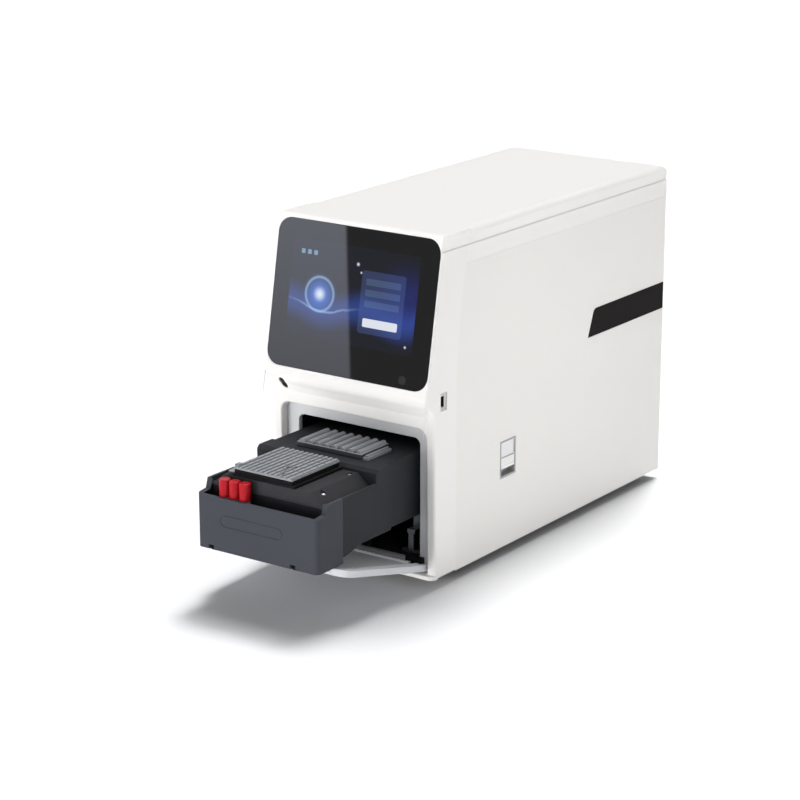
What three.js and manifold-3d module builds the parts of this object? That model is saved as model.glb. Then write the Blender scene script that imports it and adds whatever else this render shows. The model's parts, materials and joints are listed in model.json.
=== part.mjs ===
// A bench-top automated PCR instrument: a tall white cabinet with a tilted touch screen over a
// sample bay, shown with its bay door lowered and its reagent drawer run out.
// Millimetres. +X is the operator's right, +Y runs to the rear and +Z is up. Within the cabinet
// group, y = 0 is the datum of the front and z = 0 is the cabinet's bottom edge.

import * as THREE from "three";
import { mergeVertices } from "three/addons/utils/BufferGeometryUtils.js";
import Module from "manifold-3d";

const wasm = await Module();
wasm.setup();

// Fits and cuts
const gap = 0.3;
const pinPlay = 0.15;
const overrun = 6;

// Cabinet
const cabinetWidth = 258;
const cabinetHeight = 450;
const cabinetDepth = 568;
const sheet = 2.5;
const footHeight = 13;
const footRadius = 14;
const footInset = 32;
const coverProud = 0.5;
const coverDrop = 44;
const coverWall = 3;
const coverRound = 8;
const coverRearRound = 13;

// Front fascia, side view
const fasciaDepth = 41;
const seamBendHeight = 250;
const seamLean = 30.6;
const seamBendHeightShare = 0.48;
const seamBendRunShare = 0.08;
const faceOut = 5;
const faceLean = 3.5;
const browRise = 16;
const faceWall = 17;
const sillOut = 11;
const sillCorner = 9;
const chinRise = 13;
const chinOut = 18.8;
const noseRise = 7;
const noseOut = 29;
const lipRise = 13;
const screenFootOut = 25.7;
const screenTilt = 10.3;
const screenWall = 12;
const fasciaWall = 3.5;
const topRound = 8;

// Screen
const glassMargin = 7;
const glassBorder = 2;
const glassThickness = 3;
const glassCorner = 20;
const displaySideBorder = 22;
const displayHeightShare = 0.78;
const displayDepth = 16;

// USB socket and indicator slot in the fascia
const socketFront = 5;
const socketWidth = 14;
const socketFoot = 224;
const socketHeight = 24;
const socketDepth = 18;
const socketMouthWidth = 6.3;
const socketMouthHeight = 14;
const slotDrop = 16;
const slotLength = 19;
const slotWidth = 4.5;
const slotDepth = 12;
const slotInset = 34;
const slotTilt = 38;

// Bay mouth
const recessMargin = 13;
const recessFoot = 5.5;
const recessRise = 18;
const recessCorner = 14;
const recessFootCorner = 4;
const recessDepth = 10;
const mouthMargin = 19;
const mouthFoot = 18;
const mouthClear = 19;
const mouthCorner = 9;

// Bay liner and inner chassis
const linerWall = 2;
const linerLength = 364;
const chassisSheet = 3;
const chassisInset = 5;

// Bay door
const doorSideGap = 4;
const doorLength = 180;
const doorBead = 4;
const doorPlate = 4;
const doorFlangeHeight = 8.5;
const doorFlange = 14;
const doorGate = 80;
const doorPad = 1.5;
const doorPivotHeight = 12;
const doorOpenAngle = 76;
const doorHem = 7;
const doorCorner = 20;
const doorPinRadius = 1.9;
const hingeBlockInset = 38;
const hingeBlockWidth = 26.5;
const hingeBlockTop = 23.5;
const hingeEarWidth = 8;
const keeperLength = 12;
const keeperWidth = 3;
const keeperSetback = 34;

// Drawer, from its front face at y = 0 of its own group
const drawerReach = 209;
const drawerSideGap = 2;
const blockLength = 52;
const blockFoot = 61.5;
const blockTop = 132;
const blockCorner = 6.5;
const blockWall = 4;
const troughDepth = 10;
const troughLength = 18;
const trayTop = 147;
const trayLedge = 8;
const bodyLength = 350;
const bodyFoot = 77;
const bodyRampLength = 40;
const bodyRampDrop = 8;
const rearBlockStart = 122;
const rearBlockTop = 164;
const rearBlockBevel = 4.5;
const sideStepStart = 154;
const sideStepDepth = 5;

// What stands on the drawer
const deckHeight = 17.5;
const deckShoulder = 28;
const deckSlopeRun = 19;
const cartridgeLeftInset = 14;
const cartridgeRightInset = 28;
const cartridgeLength = 98;
const cartridgeHeight = 12.5;
const cartridgeBase = 5;
const cartridgeWall = 1.6;
const laneCount = 8;
const laneRise = 1.6;
const rackLeftInset = 45;
const rackRightInset = 42;
const rackStart = 148;
const rackLength = 60;
const rackHeight = 8;
const stripOffset = 3;
const stripWidth = 8;
const stripLength = 52;
const tubeRadius = 6.5;
const tubePitch = 16;
const tubeInset = 36.5;
const tubeCount = 3;
const capHeight = 24;
const capRadius = 7.8;
const wheelRadius = 4.5;
const wheelWidth = 8;
const wheelLeftInset = 22;
const wheelRightInset = 39;
const wheelSetback = 8;
const wheelRise = 1;

// Drawer rails and drive
const railInset = 27;
const railHead = 12;
const railTop = 50;
const railBase = 26;
const carriageLength = 90;
const carriageWidth = 24;
const screwRadius = 4;
const screwHeight = 42;
const nutLength = 30;
const nutWidth = 30;
const motorSize = 42;
const motorLength = 48;

// Head over the bay
const headSetback = 200;
const liftBaseLength = 56;
const liftWidth = 130;
const liftHeight = 190;
const liftPlate = 6;
const guideRadius = 5;
const guideCentre = 40;
const carriageHeight = 40;
const carriageDepth = 34;
const carriageClear = 52;
const rodRadius = 2.5;
const rodLength = 62;
const rodPitch = 9;
const rodCount = 8;
const headTravel = 60;

// Thermal and optical modules
const moduleStart = 290;
const moduleLength = 80;
const moduleHalfWidth = 50;
const sinkHeight = 40;
const finCount = 9;
const finSlot = 5;
const thermalHeight = 20;
const opticsHeight = 48;
const opticsClear = 12;
const opticsLeg = 8;

// Electronics
const boardThickness = 1.6;
const boardStandoff = 8;
const boardStart = 120;
const boardLength = 260;
const boardFoot = 30;
const boardHeight = 160;
const supplyWidth = 100;
const supplyHeight = 70;
const supplySideGap = 2;
const fanSize = 80;
const fanDepth = 25;
const fanCentreX = -50;
const fanHeight = 300;
const fanHub = 15;
const bladeCount = 7;
const inletWidth = 76;
const inletHeight = 30;
const inletSideGap = 20;
const inletFoot = 95;
const inletDepth = 26;
const rockerWidth = 14;
const rockerHeight = 20;
const rockerTilt = 7;
const rockerPivotDepth = 6;
const portsWidth = 60;
const portsHeight = 20;
const portsSideGap = 26;
const portsFoot = 100;
const portsDepth = 20;

// Side latch and label band
const latchStart = 145;
const latchWidth = 38;
const latchFoot = 96.5;
const latchHeight = 51.5;
const latchDepth = 14;
const latchRim = 2.5;
const paneHeight = 21;
const paddleHeight = 15;
const paddleThickness = 3;
const latchPinRadius = 1.2;
const bandFoot = 242;
const bandHeight = 39;
const bandStart = 362;
const bandLean = 15;
const bandThickness = 0.6;

// Worked out from the sizes above
const half = cabinetWidth / 2;
const panelHalf = half - coverProud;
const panelInner = panelHalf - sheet;
const panelTop = cabinetHeight - coverDrop;
const recessHalfWidth = half - recessMargin;
const mouthHalfWidth = recessHalfWidth - mouthMargin;
const doorHalfWidth = recessHalfWidth - doorSideGap;
const drawerHalf = mouthHalfWidth - drawerSideGap;
const mouthTop = rearBlockTop + mouthClear;
const recessTop = mouthTop + recessRise;
const faceHeight = recessTop + browRise;
const chinHeight = faceHeight + chinRise;
const noseHeight = chinHeight + noseRise;
const screenFootHeight = noseHeight + lipRise;
const glassHeight = cabinetHeight - screenFootHeight - glassMargin;
const glassHalf = half - glassBorder;
const displayWidth = (glassHalf - displaySideBorder) * 2;
const displayHeight = glassHeight * displayHeightShare;
const slotHeight = screenFootHeight - slotDrop;
const hingeBlockInner = recessHalfWidth - hingeBlockInset;
const hingeRoom = hingeBlockInner + hingeBlockWidth + gap;
const wallBack = -faceOut + faceWall;
const recessFloor = -faceOut + recessDepth;
const linerStart = wallBack + gap;
const linerEnd = linerStart + linerLength;
const linerInner = mouthHalfWidth + gap;
const linerOuter = linerInner + linerWall;
const linerTop = mouthTop + linerWall + linerWall;
const shelfFoot = linerTop + gap;
const shelfTop = shelfFoot + chassisSheet;
const rearInside = cabinetDepth - sheet;
const deckTopHalfWidth = drawerHalf - deckShoulder;
const cartridgeLeft = -deckTopHalfWidth + cartridgeLeftInset;
const cartridgeRight = deckTopHalfWidth - cartridgeRightInset;
const cartridgeWidth = cartridgeRight - cartridgeLeft;
const rackLeft = -drawerHalf + rackLeftInset;
const rackWidth = drawerHalf - rackRightInset - rackLeft;
const tubeFirst = -drawerHalf + tubeInset;
const wheelLeft = -drawerHalf + wheelLeftInset;
const wheelRight = drawerHalf - wheelRightInset;
const railCentre = mouthHalfWidth - railInset;
const supplyLeft = panelInner - supplySideGap - supplyWidth;
const inletLeft = panelInner - inletSideGap - inletWidth;
const portsLeft = -panelInner + portsSideGap;
const deckFoot = trayTop - trayLedge;
const carriageFoot = headTravel + carriageClear;
const deckTop = deckFoot + gap + deckHeight;
const roundSides = 20;
const smallSides = 12;

// Surface finishes
const paint = (color, roughness, metalness = 0) =>
  new THREE.MeshStandardMaterial({ color, roughness, metalness });
const finish = {
  white: paint(0xf4f4f2, 0.45),
  doorGrey: paint(0xc7c8cc, 0.5),
  charcoal: paint(0x4a4b51, 0.55),
  black: paint(0x18181a, 0.6),
  glass: paint(0x232428, 0.08),
  display: paint(0x10204a, 0.3),
  tray: paint(0x9c9da3, 0.35),
  red: paint(0xb83135, 0.4),
  clear: paint(0xe8ecee, 0.15),
  steel: paint(0xb8babd, 0.3, 1),
  aluminium: paint(0xc9cbcd, 0.4, 1),
  circuit: paint(0x1d5a37, 0.6),
  rubber: paint(0x222222, 0.85),
};

// Turns a closed three.js geometry into a solid that can be cut and joined.
function toSolid(geometry) {
  const bare = geometry.index ? geometry.toNonIndexed() : geometry.clone();
  bare.deleteAttribute("normal");
  bare.deleteAttribute("uv");
  const merged = mergeVertices(bare, 1e-4);
  return new wasm.Manifold(
    new wasm.Mesh({
      numProp: 3,
      vertProperties: new Float32Array(merged.attributes.position.array),
      triVerts: new Uint32Array(merged.index.array),
    }),
  );
}

const solidOf = (shape) => (shape.isBufferGeometry ? toSolid(shape) : shape);

const cut = (base, ...tools) =>
  tools.reduce((left, tool) => left.subtract(solidOf(tool)), solidOf(base));

const join = (base, ...others) =>
  others.reduce((left, other) => left.add(solidOf(other)), solidOf(base));

const common = (base, other) => solidOf(base).intersect(solidOf(other));

// Names one finished solid and gives it its material.
function piece(name, shape, material) {
  const mesh = solidOf(shape).getMesh();
  const geometry = new THREE.BufferGeometry();
  const points = new THREE.BufferAttribute(mesh.vertProperties, 3);
  geometry.setAttribute("position", points);
  geometry.setIndex(new THREE.BufferAttribute(mesh.triVerts, 1));
  geometry.computeVertexNormals();
  const made = new THREE.Mesh(geometry, material);
  made.name = name;
  return made;
}

// A box between two limits on each axis.
function block(x0, x1, y0, y1, z0, z1) {
  const box = new THREE.BoxGeometry(x1 - x0, y1 - y0, z1 - z0);
  return box.translate((x0 + x1) / 2, (y0 + y1) / 2, (z0 + z1) / 2);
}

// A round bar along one axis; a and b are its centre on the other two, in X, Y, Z order.
function bar(axis, radius, from, to, a, b, sides = roundSides) {
  const middle = (from + to) / 2;
  const cylinder = new THREE.CylinderGeometry(radius, radius, to - from, sides);
  if (axis === "x") return cylinder.rotateZ(-Math.PI / 2).translate(middle, a, b);
  if (axis === "z") return cylinder.rotateX(Math.PI / 2).translate(a, b, middle);
  return cylinder.translate(a, middle, b);
}

function outline(points) {
  return new THREE.Shape(points.map(([u, v]) => new THREE.Vector2(u, v)));
}

// A rounded rectangle whose two lower corners may have a radius of their own.
function roundedRect(u0, u1, v0, v1, radius, lower = radius) {
  const shape = new THREE.Shape();
  shape.moveTo(u0 + lower, v0);
  shape.lineTo(u1 - lower, v0);
  shape.absarc(u1 - lower, v0 + lower, lower, -Math.PI / 2, 0);
  shape.lineTo(u1, v1 - radius);
  shape.absarc(u1 - radius, v1 - radius, radius, 0, Math.PI / 2);
  shape.lineTo(u0 + radius, v1);
  shape.absarc(u0 + radius, v1 - radius, radius, Math.PI / 2, Math.PI);
  shape.lineTo(u0, v0 + lower);
  shape.absarc(u0 + lower, v0 + lower, lower, Math.PI, 1.5 * Math.PI);
  return shape;
}

// Extrudes a flat shape along an axis: its two coordinates are the other two, in X, Y, Z order.
function prism(axis, shape, from, to, curveSegments = 5) {
  const length = to - from;
  const options = { depth: length, bevelEnabled: false, curveSegments };
  const geometry = new THREE.ExtrudeGeometry(shape, options);
  if (axis === "x") return geometry.rotateX(Math.PI / 2).rotateZ(Math.PI / 2).translate(from, 0, 0);
  if (axis === "y") return geometry.rotateX(Math.PI / 2).translate(0, to, 0);
  return geometry.translate(0, 0, from);
}

// Where the plane of the screen stands at a height, in the side view.
const screenAt = (z) =>
  -screenFootOut + Math.tan(THREE.MathUtils.degToRad(screenTilt)) * (z - screenFootHeight);

// The joint line behind the fascia in the side view, from the bottom up.
function seamPoints(offset) {
  const rise = cabinetHeight - seamBendHeight;
  const curve = new THREE.QuadraticBezierCurve(
    new THREE.Vector2(fasciaDepth, seamBendHeight),
    new THREE.Vector2(
      fasciaDepth + seamBendRunShare * seamLean,
      seamBendHeight + seamBendHeightShare * rise,
    ),
    new THREE.Vector2(fasciaDepth + seamLean, cabinetHeight),
  );
  return curve.getPoints(6).map((p) => [p.x + offset, p.y]);
}

// The part of that line that lies under a height, ending at that height.
function seamBelow(offset, height) {
  const points = seamPoints(offset);
  const next = points.findIndex(([, z]) => z > height);
  const [y0, z0] = points[next - 1];
  const [y1, z1] = points[next];
  const share = (height - z0) / (z1 - z0);
  return [...points.slice(0, next), [y0 + share * (y1 - y0), height]];
}

// Fascia

function fasciaOutline() {
  const shape = new THREE.Shape();
  shape.moveTo(fasciaDepth, 0);
  for (const [y, z] of seamPoints(0)) shape.lineTo(y, z);
  shape.lineTo(screenAt(cabinetHeight) + topRound, cabinetHeight);
  shape.quadraticCurveTo(
    screenAt(cabinetHeight),
    cabinetHeight,
    screenAt(cabinetHeight - topRound),
    cabinetHeight - topRound,
  );
  shape.lineTo(-screenFootOut, screenFootHeight);
  shape.quadraticCurveTo(-noseOut, noseHeight, -chinOut, chinHeight);
  shape.lineTo(-faceOut - faceLean, faceHeight);
  shape.lineTo(-faceOut, 0);
  return shape;
}

// The open space inside the fascia, which runs out past its rear.
function fasciaHollow() {
  const rear = fasciaDepth + seamLean + overrun;
  const slopeWall = screenWall / Math.cos(THREE.MathUtils.degToRad(screenTilt));
  const top = cabinetHeight - fasciaWall;
  return outline([
    [wallBack, fasciaWall],
    [wallBack, faceHeight - faceWall],
    [screenAt(screenFootHeight) + slopeWall, screenFootHeight],
    [screenAt(top) + slopeWall, top],
    [rear, top],
    [rear, fasciaWall],
  ]);
}

const glassMiddle = (screenFootHeight + cabinetHeight) / 2 - gap;
// A shape drawn flat behind the screen's plane, set at the screen's tilt.
function onScreen(shape, front, back) {
  return prism("y", shape, front, back)
    .rotateX(-THREE.MathUtils.degToRad(screenTilt))
    .translate(0, screenAt(glassMiddle), glassMiddle);
}

function makeFascia() {
  const inner = half - fasciaWall;
  const glassPocket = roundedRect(
    -glassHalf - gap,
    glassHalf + gap,
    -glassHeight / 2 - gap,
    glassHeight / 2 + gap,
    glassCorner,
  );
  const displayWindow = outline([
    [-displayWidth / 2 - gap, -displayHeight / 2 - gap],
    [displayWidth / 2 + gap, -displayHeight / 2 - gap],
    [displayWidth / 2 + gap, displayHeight / 2 + gap],
    [-displayWidth / 2 - gap, displayHeight / 2 + gap],
  ]);
  const recess = roundedRect(
    -recessHalfWidth,
    recessHalfWidth,
    recessFoot,
    recessTop,
    recessCorner,
    recessFootCorner,
  );
  const mouth = roundedRect(-mouthHalfWidth, mouthHalfWidth, mouthFoot, mouthTop, mouthCorner);
  const hingeNotches = [-1, 1].map((side) => {
    const near = side * (hingeBlockInner - gap);
    const far = side * (hingeBlockInner + hingeBlockWidth + gap);
    return block(
      Math.min(near, far),
      Math.max(near, far),
      -faceOut - overrun,
      wallBack + overrun,
      recessFoot,
      hingeBlockTop + gap,
    );
  });
  const slotMiddle = -half + slotInset;
  const slot = prism(
    "y",
    roundedRect(-slotLength / 2, slotLength / 2, -slotWidth / 2, slotWidth / 2, slotWidth / 2.2),
    -slotDepth - overrun,
    slotDepth,
  )
    .rotateY(THREE.MathUtils.degToRad(slotTilt))
    .translate(slotMiddle, screenAt(slotHeight), slotHeight);
  const sill = roundedRect(-half, half, -sillOut, 0, gap, sillCorner);
  return cut(
    join(prism("x", fasciaOutline(), -half, half), prism("z", sill, 0, recessFoot)),
    prism("x", fasciaHollow(), -inner, inner),
    onScreen(glassPocket, -overrun, glassThickness + gap),
    onScreen(displayWindow, 0, screenWall + overrun),
    prism("y", recess, -faceOut - faceLean - overrun, recessFloor),
    prism("y", mouth, recessFloor - overrun, wallBack + overrun),
    ...hingeNotches,
    slot,
    block(
      inner - overrun,
      half + overrun,
      socketFront,
      socketFront + socketWidth,
      socketFoot,
      socketFoot + socketHeight,
    ),
  );
}

function makeSocket() {
  const front = socketFront + gap;
  const back = socketFront + socketWidth - gap;
  const foot = socketFoot + gap;
  const top = socketFoot + socketHeight - gap;
  const face = half - coverProud * 2;
  const mouthFront = front + 1;
  const mouthBack = mouthFront + socketMouthWidth;
  const mouthLow = (foot + top - socketMouthHeight) / 2;
  const mouthHigh = mouthLow + socketMouthHeight;
  const tongueWall = socketMouthWidth / 3;
  const body = cut(
    block(face - socketDepth, face, front, back, foot, top),
    block(face - socketDepth + sheet, face + overrun, mouthFront, mouthBack, mouthLow, mouthHigh),
  );
  const tongue = block(
    face - socketDepth + sheet - gap,
    face - sheet,
    mouthFront + tongueWall,
    mouthBack - tongueWall,
    mouthLow + tongueWall,
    mouthHigh - tongueWall,
  );
  return join(body, tongue);
}

function makeFront() {
  const group = new THREE.Group();
  group.add(piece("front_fascia", makeFascia(), finish.white));
  group.add(piece("usb_port", makeSocket(), finish.black));

  const screen = new THREE.Group();
  screen.rotation.x = -THREE.MathUtils.degToRad(screenTilt);
  screen.position.set(0, screenAt(glassMiddle), glassMiddle);
  const glass = roundedRect(
    -glassHalf,
    glassHalf,
    -glassHeight / 2,
    glassHeight / 2,
    glassCorner - gap,
  );
  screen.add(piece("screen_glass", prism("y", glass, 0, glassThickness), finish.glass));
  const panelFront = glassThickness + gap;
  const panel = block(
    -displayWidth / 2,
    displayWidth / 2,
    panelFront,
    panelFront + displayDepth,
    -displayHeight / 2,
    displayHeight / 2,
  );
  screen.add(piece("display_module", panel, finish.display));
  group.add(screen);
  return group;
}

// Cabinet

// Side view of the cover, drawn in from the outside by a wall.
function coverSide(inset, front) {
  const top = cabinetHeight - inset;
  const back = cabinetDepth - inset;
  const round = coverRearRound - inset;
  const shape = new THREE.Shape();
  shape.moveTo(front[0][0], front[0][1] - (inset ? overrun : 0));
  for (const [y, z] of front) shape.lineTo(y, z);
  shape.lineTo(back - round, top);
  shape.absarc(back - round, top - round, round, Math.PI / 2, 0, true);
  shape.lineTo(back, front[0][1] - (inset ? overrun : 0));
  return shape;
}

function coverSection(inset, foot) {
  const wide = half - inset;
  const top = cabinetHeight - inset;
  const round = coverRound - inset;
  const shape = new THREE.Shape();
  shape.moveTo(-wide, foot);
  shape.lineTo(wide, foot);
  shape.lineTo(wide, top - round);
  shape.absarc(wide - round, top - round, round, 0, Math.PI / 2);
  shape.lineTo(-wide + round, top);
  shape.absarc(-wide + round, top - round, round, Math.PI / 2, Math.PI);
  return shape;
}

function makeCover() {
  const foot = panelTop;
  const seam = seamPoints(gap);
  const start = seamBelow(gap, foot).at(-1);
  const outer = [start, ...seam.filter(([, z]) => z > foot)];
  const hollowFront = -overrun;
  const hollow = [
    [hollowFront, foot - overrun],
    [hollowFront, cabinetHeight - coverWall],
  ];
  const shell = common(
    prism("y", coverSection(0, foot), hollowFront, cabinetDepth + overrun),
    prism("x", coverSide(0, outer), -half, half),
  );
  const inside = common(
    prism("y", coverSection(coverWall, foot - overrun), hollowFront, cabinetDepth),
    prism("x", coverSide(coverWall, hollow), -half, half),
  );
  return cut(shell, inside);
}

function panelSide() {
  const top = panelTop - gap;
  const front = [[fasciaDepth + gap, 0], ...seamBelow(gap, top)];
  return outline([...front, [cabinetDepth, top], [cabinetDepth, 0]]);
}

function bandOutline(inset) {
  const top = bandFoot + bandHeight - inset;
  const foot = bandFoot + inset;
  const corner = bandHeight / 6;
  const shape = new THREE.Shape();
  shape.moveTo(bandStart + inset, foot);
  shape.lineTo(bandStart + inset + bandLean * (1 - 1 / 6), top - corner);
  shape.quadraticCurveTo(
    bandStart + inset + bandLean,
    top,
    bandStart + inset + bandLean + corner,
    top,
  );
  shape.lineTo(cabinetDepth - inset, top);
  shape.lineTo(cabinetDepth - inset, foot);
  return shape;
}

function makeRightPanel() {
  const latchHole = block(
    panelInner - overrun,
    panelHalf + overrun,
    latchStart,
    latchStart + latchWidth,
    latchFoot,
    latchFoot + latchHeight,
  );
  const bandPocket = prism(
    "x",
    bandOutline(0),
    panelHalf - bandThickness - gap,
    panelHalf + overrun,
  );
  return cut(prism("x", panelSide(), panelInner, panelHalf), latchHole, bandPocket);
}

function ventSlots(x0, x1, foot, top, count) {
  const pitch = (top - foot) / count;
  return Array.from({ length: count }, (_, i) =>
    block(
      x0,
      x1,
      rearInside - overrun,
      cabinetDepth + overrun,
      foot + i * pitch + pitch / 4,
      foot + (i + 1) * pitch - pitch / 4,
    ),
  );
}

function makeRearPanel() {
  const side = panelInner - gap;
  const ventHalf = fanSize / 2 - sheet;
  const vents = ventSlots(
    fanCentreX - ventHalf,
    fanCentreX + ventHalf,
    fanHeight - ventHalf,
    fanHeight + ventHalf,
    9,
  );
  const openings = [
    [inletLeft, inletWidth, inletFoot, inletHeight],
    [portsLeft, portsWidth, portsFoot, portsHeight],
  ].map(([left, width, foot, height]) =>
    block(left, left + width, rearInside - overrun, cabinetDepth + overrun, foot, foot + height),
  );
  const sheetPlate = block(-side, side, rearInside, cabinetDepth, sheet + gap, panelTop - gap);
  return cut(sheetPlate, ...vents, ...openings);
}

function makeFoot(x, y) {
  const rim = footRadius / 5;
  const profile = [
    [0, -footHeight],
    [footRadius - rim, -footHeight],
    [footRadius, -footHeight + rim],
    [footRadius, -rim],
    [footRadius - rim, 0],
    [0, 0],
  ].map(([r, z]) => new THREE.Vector2(r, z));
  return new THREE.LatheGeometry(profile, roundSides).rotateX(Math.PI / 2).translate(x, y, -gap);
}

function makeCabinet() {
  const group = new THREE.Group();
  const left = prism("x", panelSide(), -panelHalf, -panelInner);
  const plateSide = panelInner - gap;
  const plate = block(-plateSide, plateSide, fasciaDepth + gap, cabinetDepth, 0, sheet);
  const band = prism("x", bandOutline(gap), panelHalf - bandThickness, panelHalf);
  group.add(piece("top_cover", makeCover(), finish.white));
  group.add(piece("left_side_panel", left, finish.white));
  group.add(piece("right_side_panel", makeRightPanel(), finish.white));
  group.add(piece("rear_panel", makeRearPanel(), finish.white));
  group.add(piece("base_plate", plate, finish.steel));
  group.add(piece("side_label_band", band, finish.black));

  const reachX = half - footInset;
  const frontY = fasciaDepth + footInset;
  const rearY = cabinetDepth - footInset;
  const places = [
    ["foot_front_left", -reachX, frontY],
    ["foot_front_right", reachX, frontY],
    ["foot_rear_left", -reachX, rearY],
    ["foot_rear_right", reachX, rearY],
  ];
  for (const [name, x, y] of places) group.add(piece(name, makeFoot(x, y), finish.rubber));
  return group;
}

// Side latch

const latchTop = latchFoot + latchHeight;
const paddleTop = latchTop - latchRim - paneHeight - gap * 2;
const latchPinHeight = paddleTop - latchPinRadius * 2;
const latchPinX = panelHalf - paddleThickness;

function makeLatchFrame() {
  const front = latchStart + gap;
  const back = latchStart + latchWidth - gap;
  const body = block(
    panelHalf - latchDepth,
    panelHalf,
    front,
    back,
    latchFoot + gap,
    latchTop - gap,
  );
  const paneRecess = block(
    panelHalf - coverProud,
    panelHalf + overrun,
    front + latchRim,
    back - latchRim,
    paddleTop + gap * 2,
    latchTop - latchRim,
  );
  const well = block(
    panelHalf - latchDepth + latchRim,
    panelHalf + overrun,
    front + latchRim,
    back - latchRim,
    latchFoot + latchRim,
    paddleTop + gap,
  );
  const reach = latchRim / 2;
  const pinHole = bar(
    "y",
    latchPinRadius + pinPlay,
    front + reach - gap,
    back - reach + gap,
    latchPinX,
    latchPinHeight,
    smallSides,
  );
  return cut(body, paneRecess, well, pinHole);
}

function makeLatch() {
  const group = new THREE.Group();
  const front = latchStart + gap;
  const back = latchStart + latchWidth - gap;
  const paddleFront = front + latchRim + gap;
  const paddleBack = back - latchRim - gap;
  const barrel = latchPinRadius * 2;
  const face = panelHalf - coverProud;
  const plate = block(
    face - paddleThickness,
    face,
    paddleFront,
    paddleBack,
    paddleTop - paddleHeight,
    paddleTop - latchPinRadius,
  );
  const paddle = cut(
    join(plate, bar("y", barrel, paddleFront, paddleBack, latchPinX, latchPinHeight, smallSides)),
    bar(
      "y",
      latchPinRadius + pinPlay,
      paddleFront - overrun,
      paddleBack + overrun,
      latchPinX,
      latchPinHeight,
      smallSides,
    ),
  );
  const reach = latchRim / 2;
  const pin = bar(
    "y",
    latchPinRadius,
    front + reach,
    back - reach,
    latchPinX,
    latchPinHeight,
    smallSides,
  );
  group.add(piece("latch_frame", makeLatchFrame(), finish.white));
  group.add(piece("latch_paddle", paddle, finish.white));
  group.add(piece("latch_pin", pin, finish.steel));
  return group;
}

// Bay door, drawn closed about its hinge line and then turned down

const earMiddle = hingeBlockInner + hingeBlockWidth / 2;
const doorInnerHalf = doorHalfWidth - doorFlange;

function makeDoorPanel() {
  const face = roundedRect(-doorHalfWidth, doorHalfWidth, 0, doorLength, doorCorner, gap);
  const back = doorFlangeHeight - doorBead;
  const floor = doorPlate - doorBead;
  const tray = cut(
    prism("y", face, -doorBead, back),
    block(-doorInnerHalf, doorInnerHalf, floor, back + overrun, -overrun, doorLength - doorFlange),
    block(-hingeRoom, hingeRoom, floor, back + overrun, -overrun, doorHem + doorBead),
    block(-doorGate, doorGate, floor, back + overrun, doorLength / 2, doorLength + overrun),
  );
  const bead = join(
    bar("x", doorBead, -doorInnerHalf, doorInnerHalf, 0, 0),
    block(-doorInnerHalf, doorInnerHalf, -doorBead, doorBead, 0, doorHem),
  );
  const earGaps = [-1, 1].map((side) =>
    block(
      side * earMiddle - hingeEarWidth / 2 - gap,
      side * earMiddle + hingeEarWidth / 2 + gap,
      -doorBead - overrun,
      doorBead + overrun,
      -doorBead - overrun,
      doorHem + doorBead,
    ),
  );
  const pinHole = bar("x", doorPinRadius + pinPlay, -half, half, 0, 0);
  const keeper = block(
    doorInnerHalf - gap,
    doorInnerHalf + keeperWidth,
    back - keeperWidth,
    back + overrun,
    doorLength - keeperSetback - keeperLength,
    doorLength - keeperSetback,
  );
  return cut(join(tray, bead), ...earGaps, pinHole, keeper);
}

function makeDoor() {
  const group = new THREE.Group();
  group.position.z = doorPivotHeight;
  group.rotation.x = THREE.MathUtils.degToRad(doorOpenAngle);
  const side = doorInnerHalf - gap;
  const padFoot = doorHem + doorBead + gap;
  const padFront = doorPlate - doorBead + gap;
  const pad = roundedRect(-side, side, padFoot, doorLength - doorFlange - gap, doorCorner / 5);
  const pin = bar("x", doorPinRadius, -doorInnerHalf + gap, doorInnerHalf - gap, 0, 0);
  group.add(piece("door_panel", makeDoorPanel(), finish.doorGrey));
  group.add(piece("door_liner", prism("y", pad, padFront, padFront + doorPad), finish.doorGrey));
  group.add(piece("door_hinge_pin", pin, finish.steel));
  return group;
}

function makeHingeBlock(side) {
  const near = side * hingeBlockInner;
  const far = side * (hingeBlockInner + hingeBlockWidth);
  const low = Math.min(near, far);
  const high = Math.max(near, far);
  const ear0 = side * earMiddle - hingeEarWidth / 2;
  const ear1 = ear0 + hingeEarWidth;
  const earRadius = doorBead + gap;
  const foot = recessFoot + gap;
  const cap = block(low, high, 0, wallBack, doorPivotHeight + doorBead + gap, hingeBlockTop);
  const ear = join(
    bar("x", earRadius, ear0, ear1, 0, doorPivotHeight),
    block(ear0, ear1, 0, wallBack, doorPivotHeight - earRadius, hingeBlockTop - gap),
    block(ear0, ear1, recessFloor, wallBack, foot, doorPivotHeight),
  );
  const hole = bar("x", doorPinRadius + pinPlay, ear0 - overrun, ear1 + overrun, 0, doorPivotHeight);
  return cut(join(cap, ear), hole);
}

// Drawer, in its own group

function drawerPlan() {
  const shape = new THREE.Shape();
  shape.moveTo(-drawerHalf, bodyLength);
  shape.lineTo(-drawerHalf, blockCorner);
  shape.absarc(-drawerHalf + blockCorner, blockCorner, blockCorner, Math.PI, 1.5 * Math.PI);
  shape.lineTo(drawerHalf - blockCorner, 0);
  shape.absarc(drawerHalf - blockCorner, blockCorner, blockCorner, -Math.PI / 2, 0);
  shape.lineTo(drawerHalf, bodyLength);
  return shape;
}

const troughFloor = blockTop - troughDepth;
const troughEnd = blockWall + troughLength;
const tubeSetback = blockWall + troughLength / 2 - 1;
const tubeCentres = Array.from({ length: tubeCount }, (_, i) => tubeFirst + i * tubePitch);
const innerHalf = drawerHalf - blockWall;
const wheelHeight = blockFoot + wheelRise;
const wheelPlaces = [
  ["guide_wheel_left", wheelLeft],
  ["guide_wheel_right", wheelRight],
];

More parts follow.
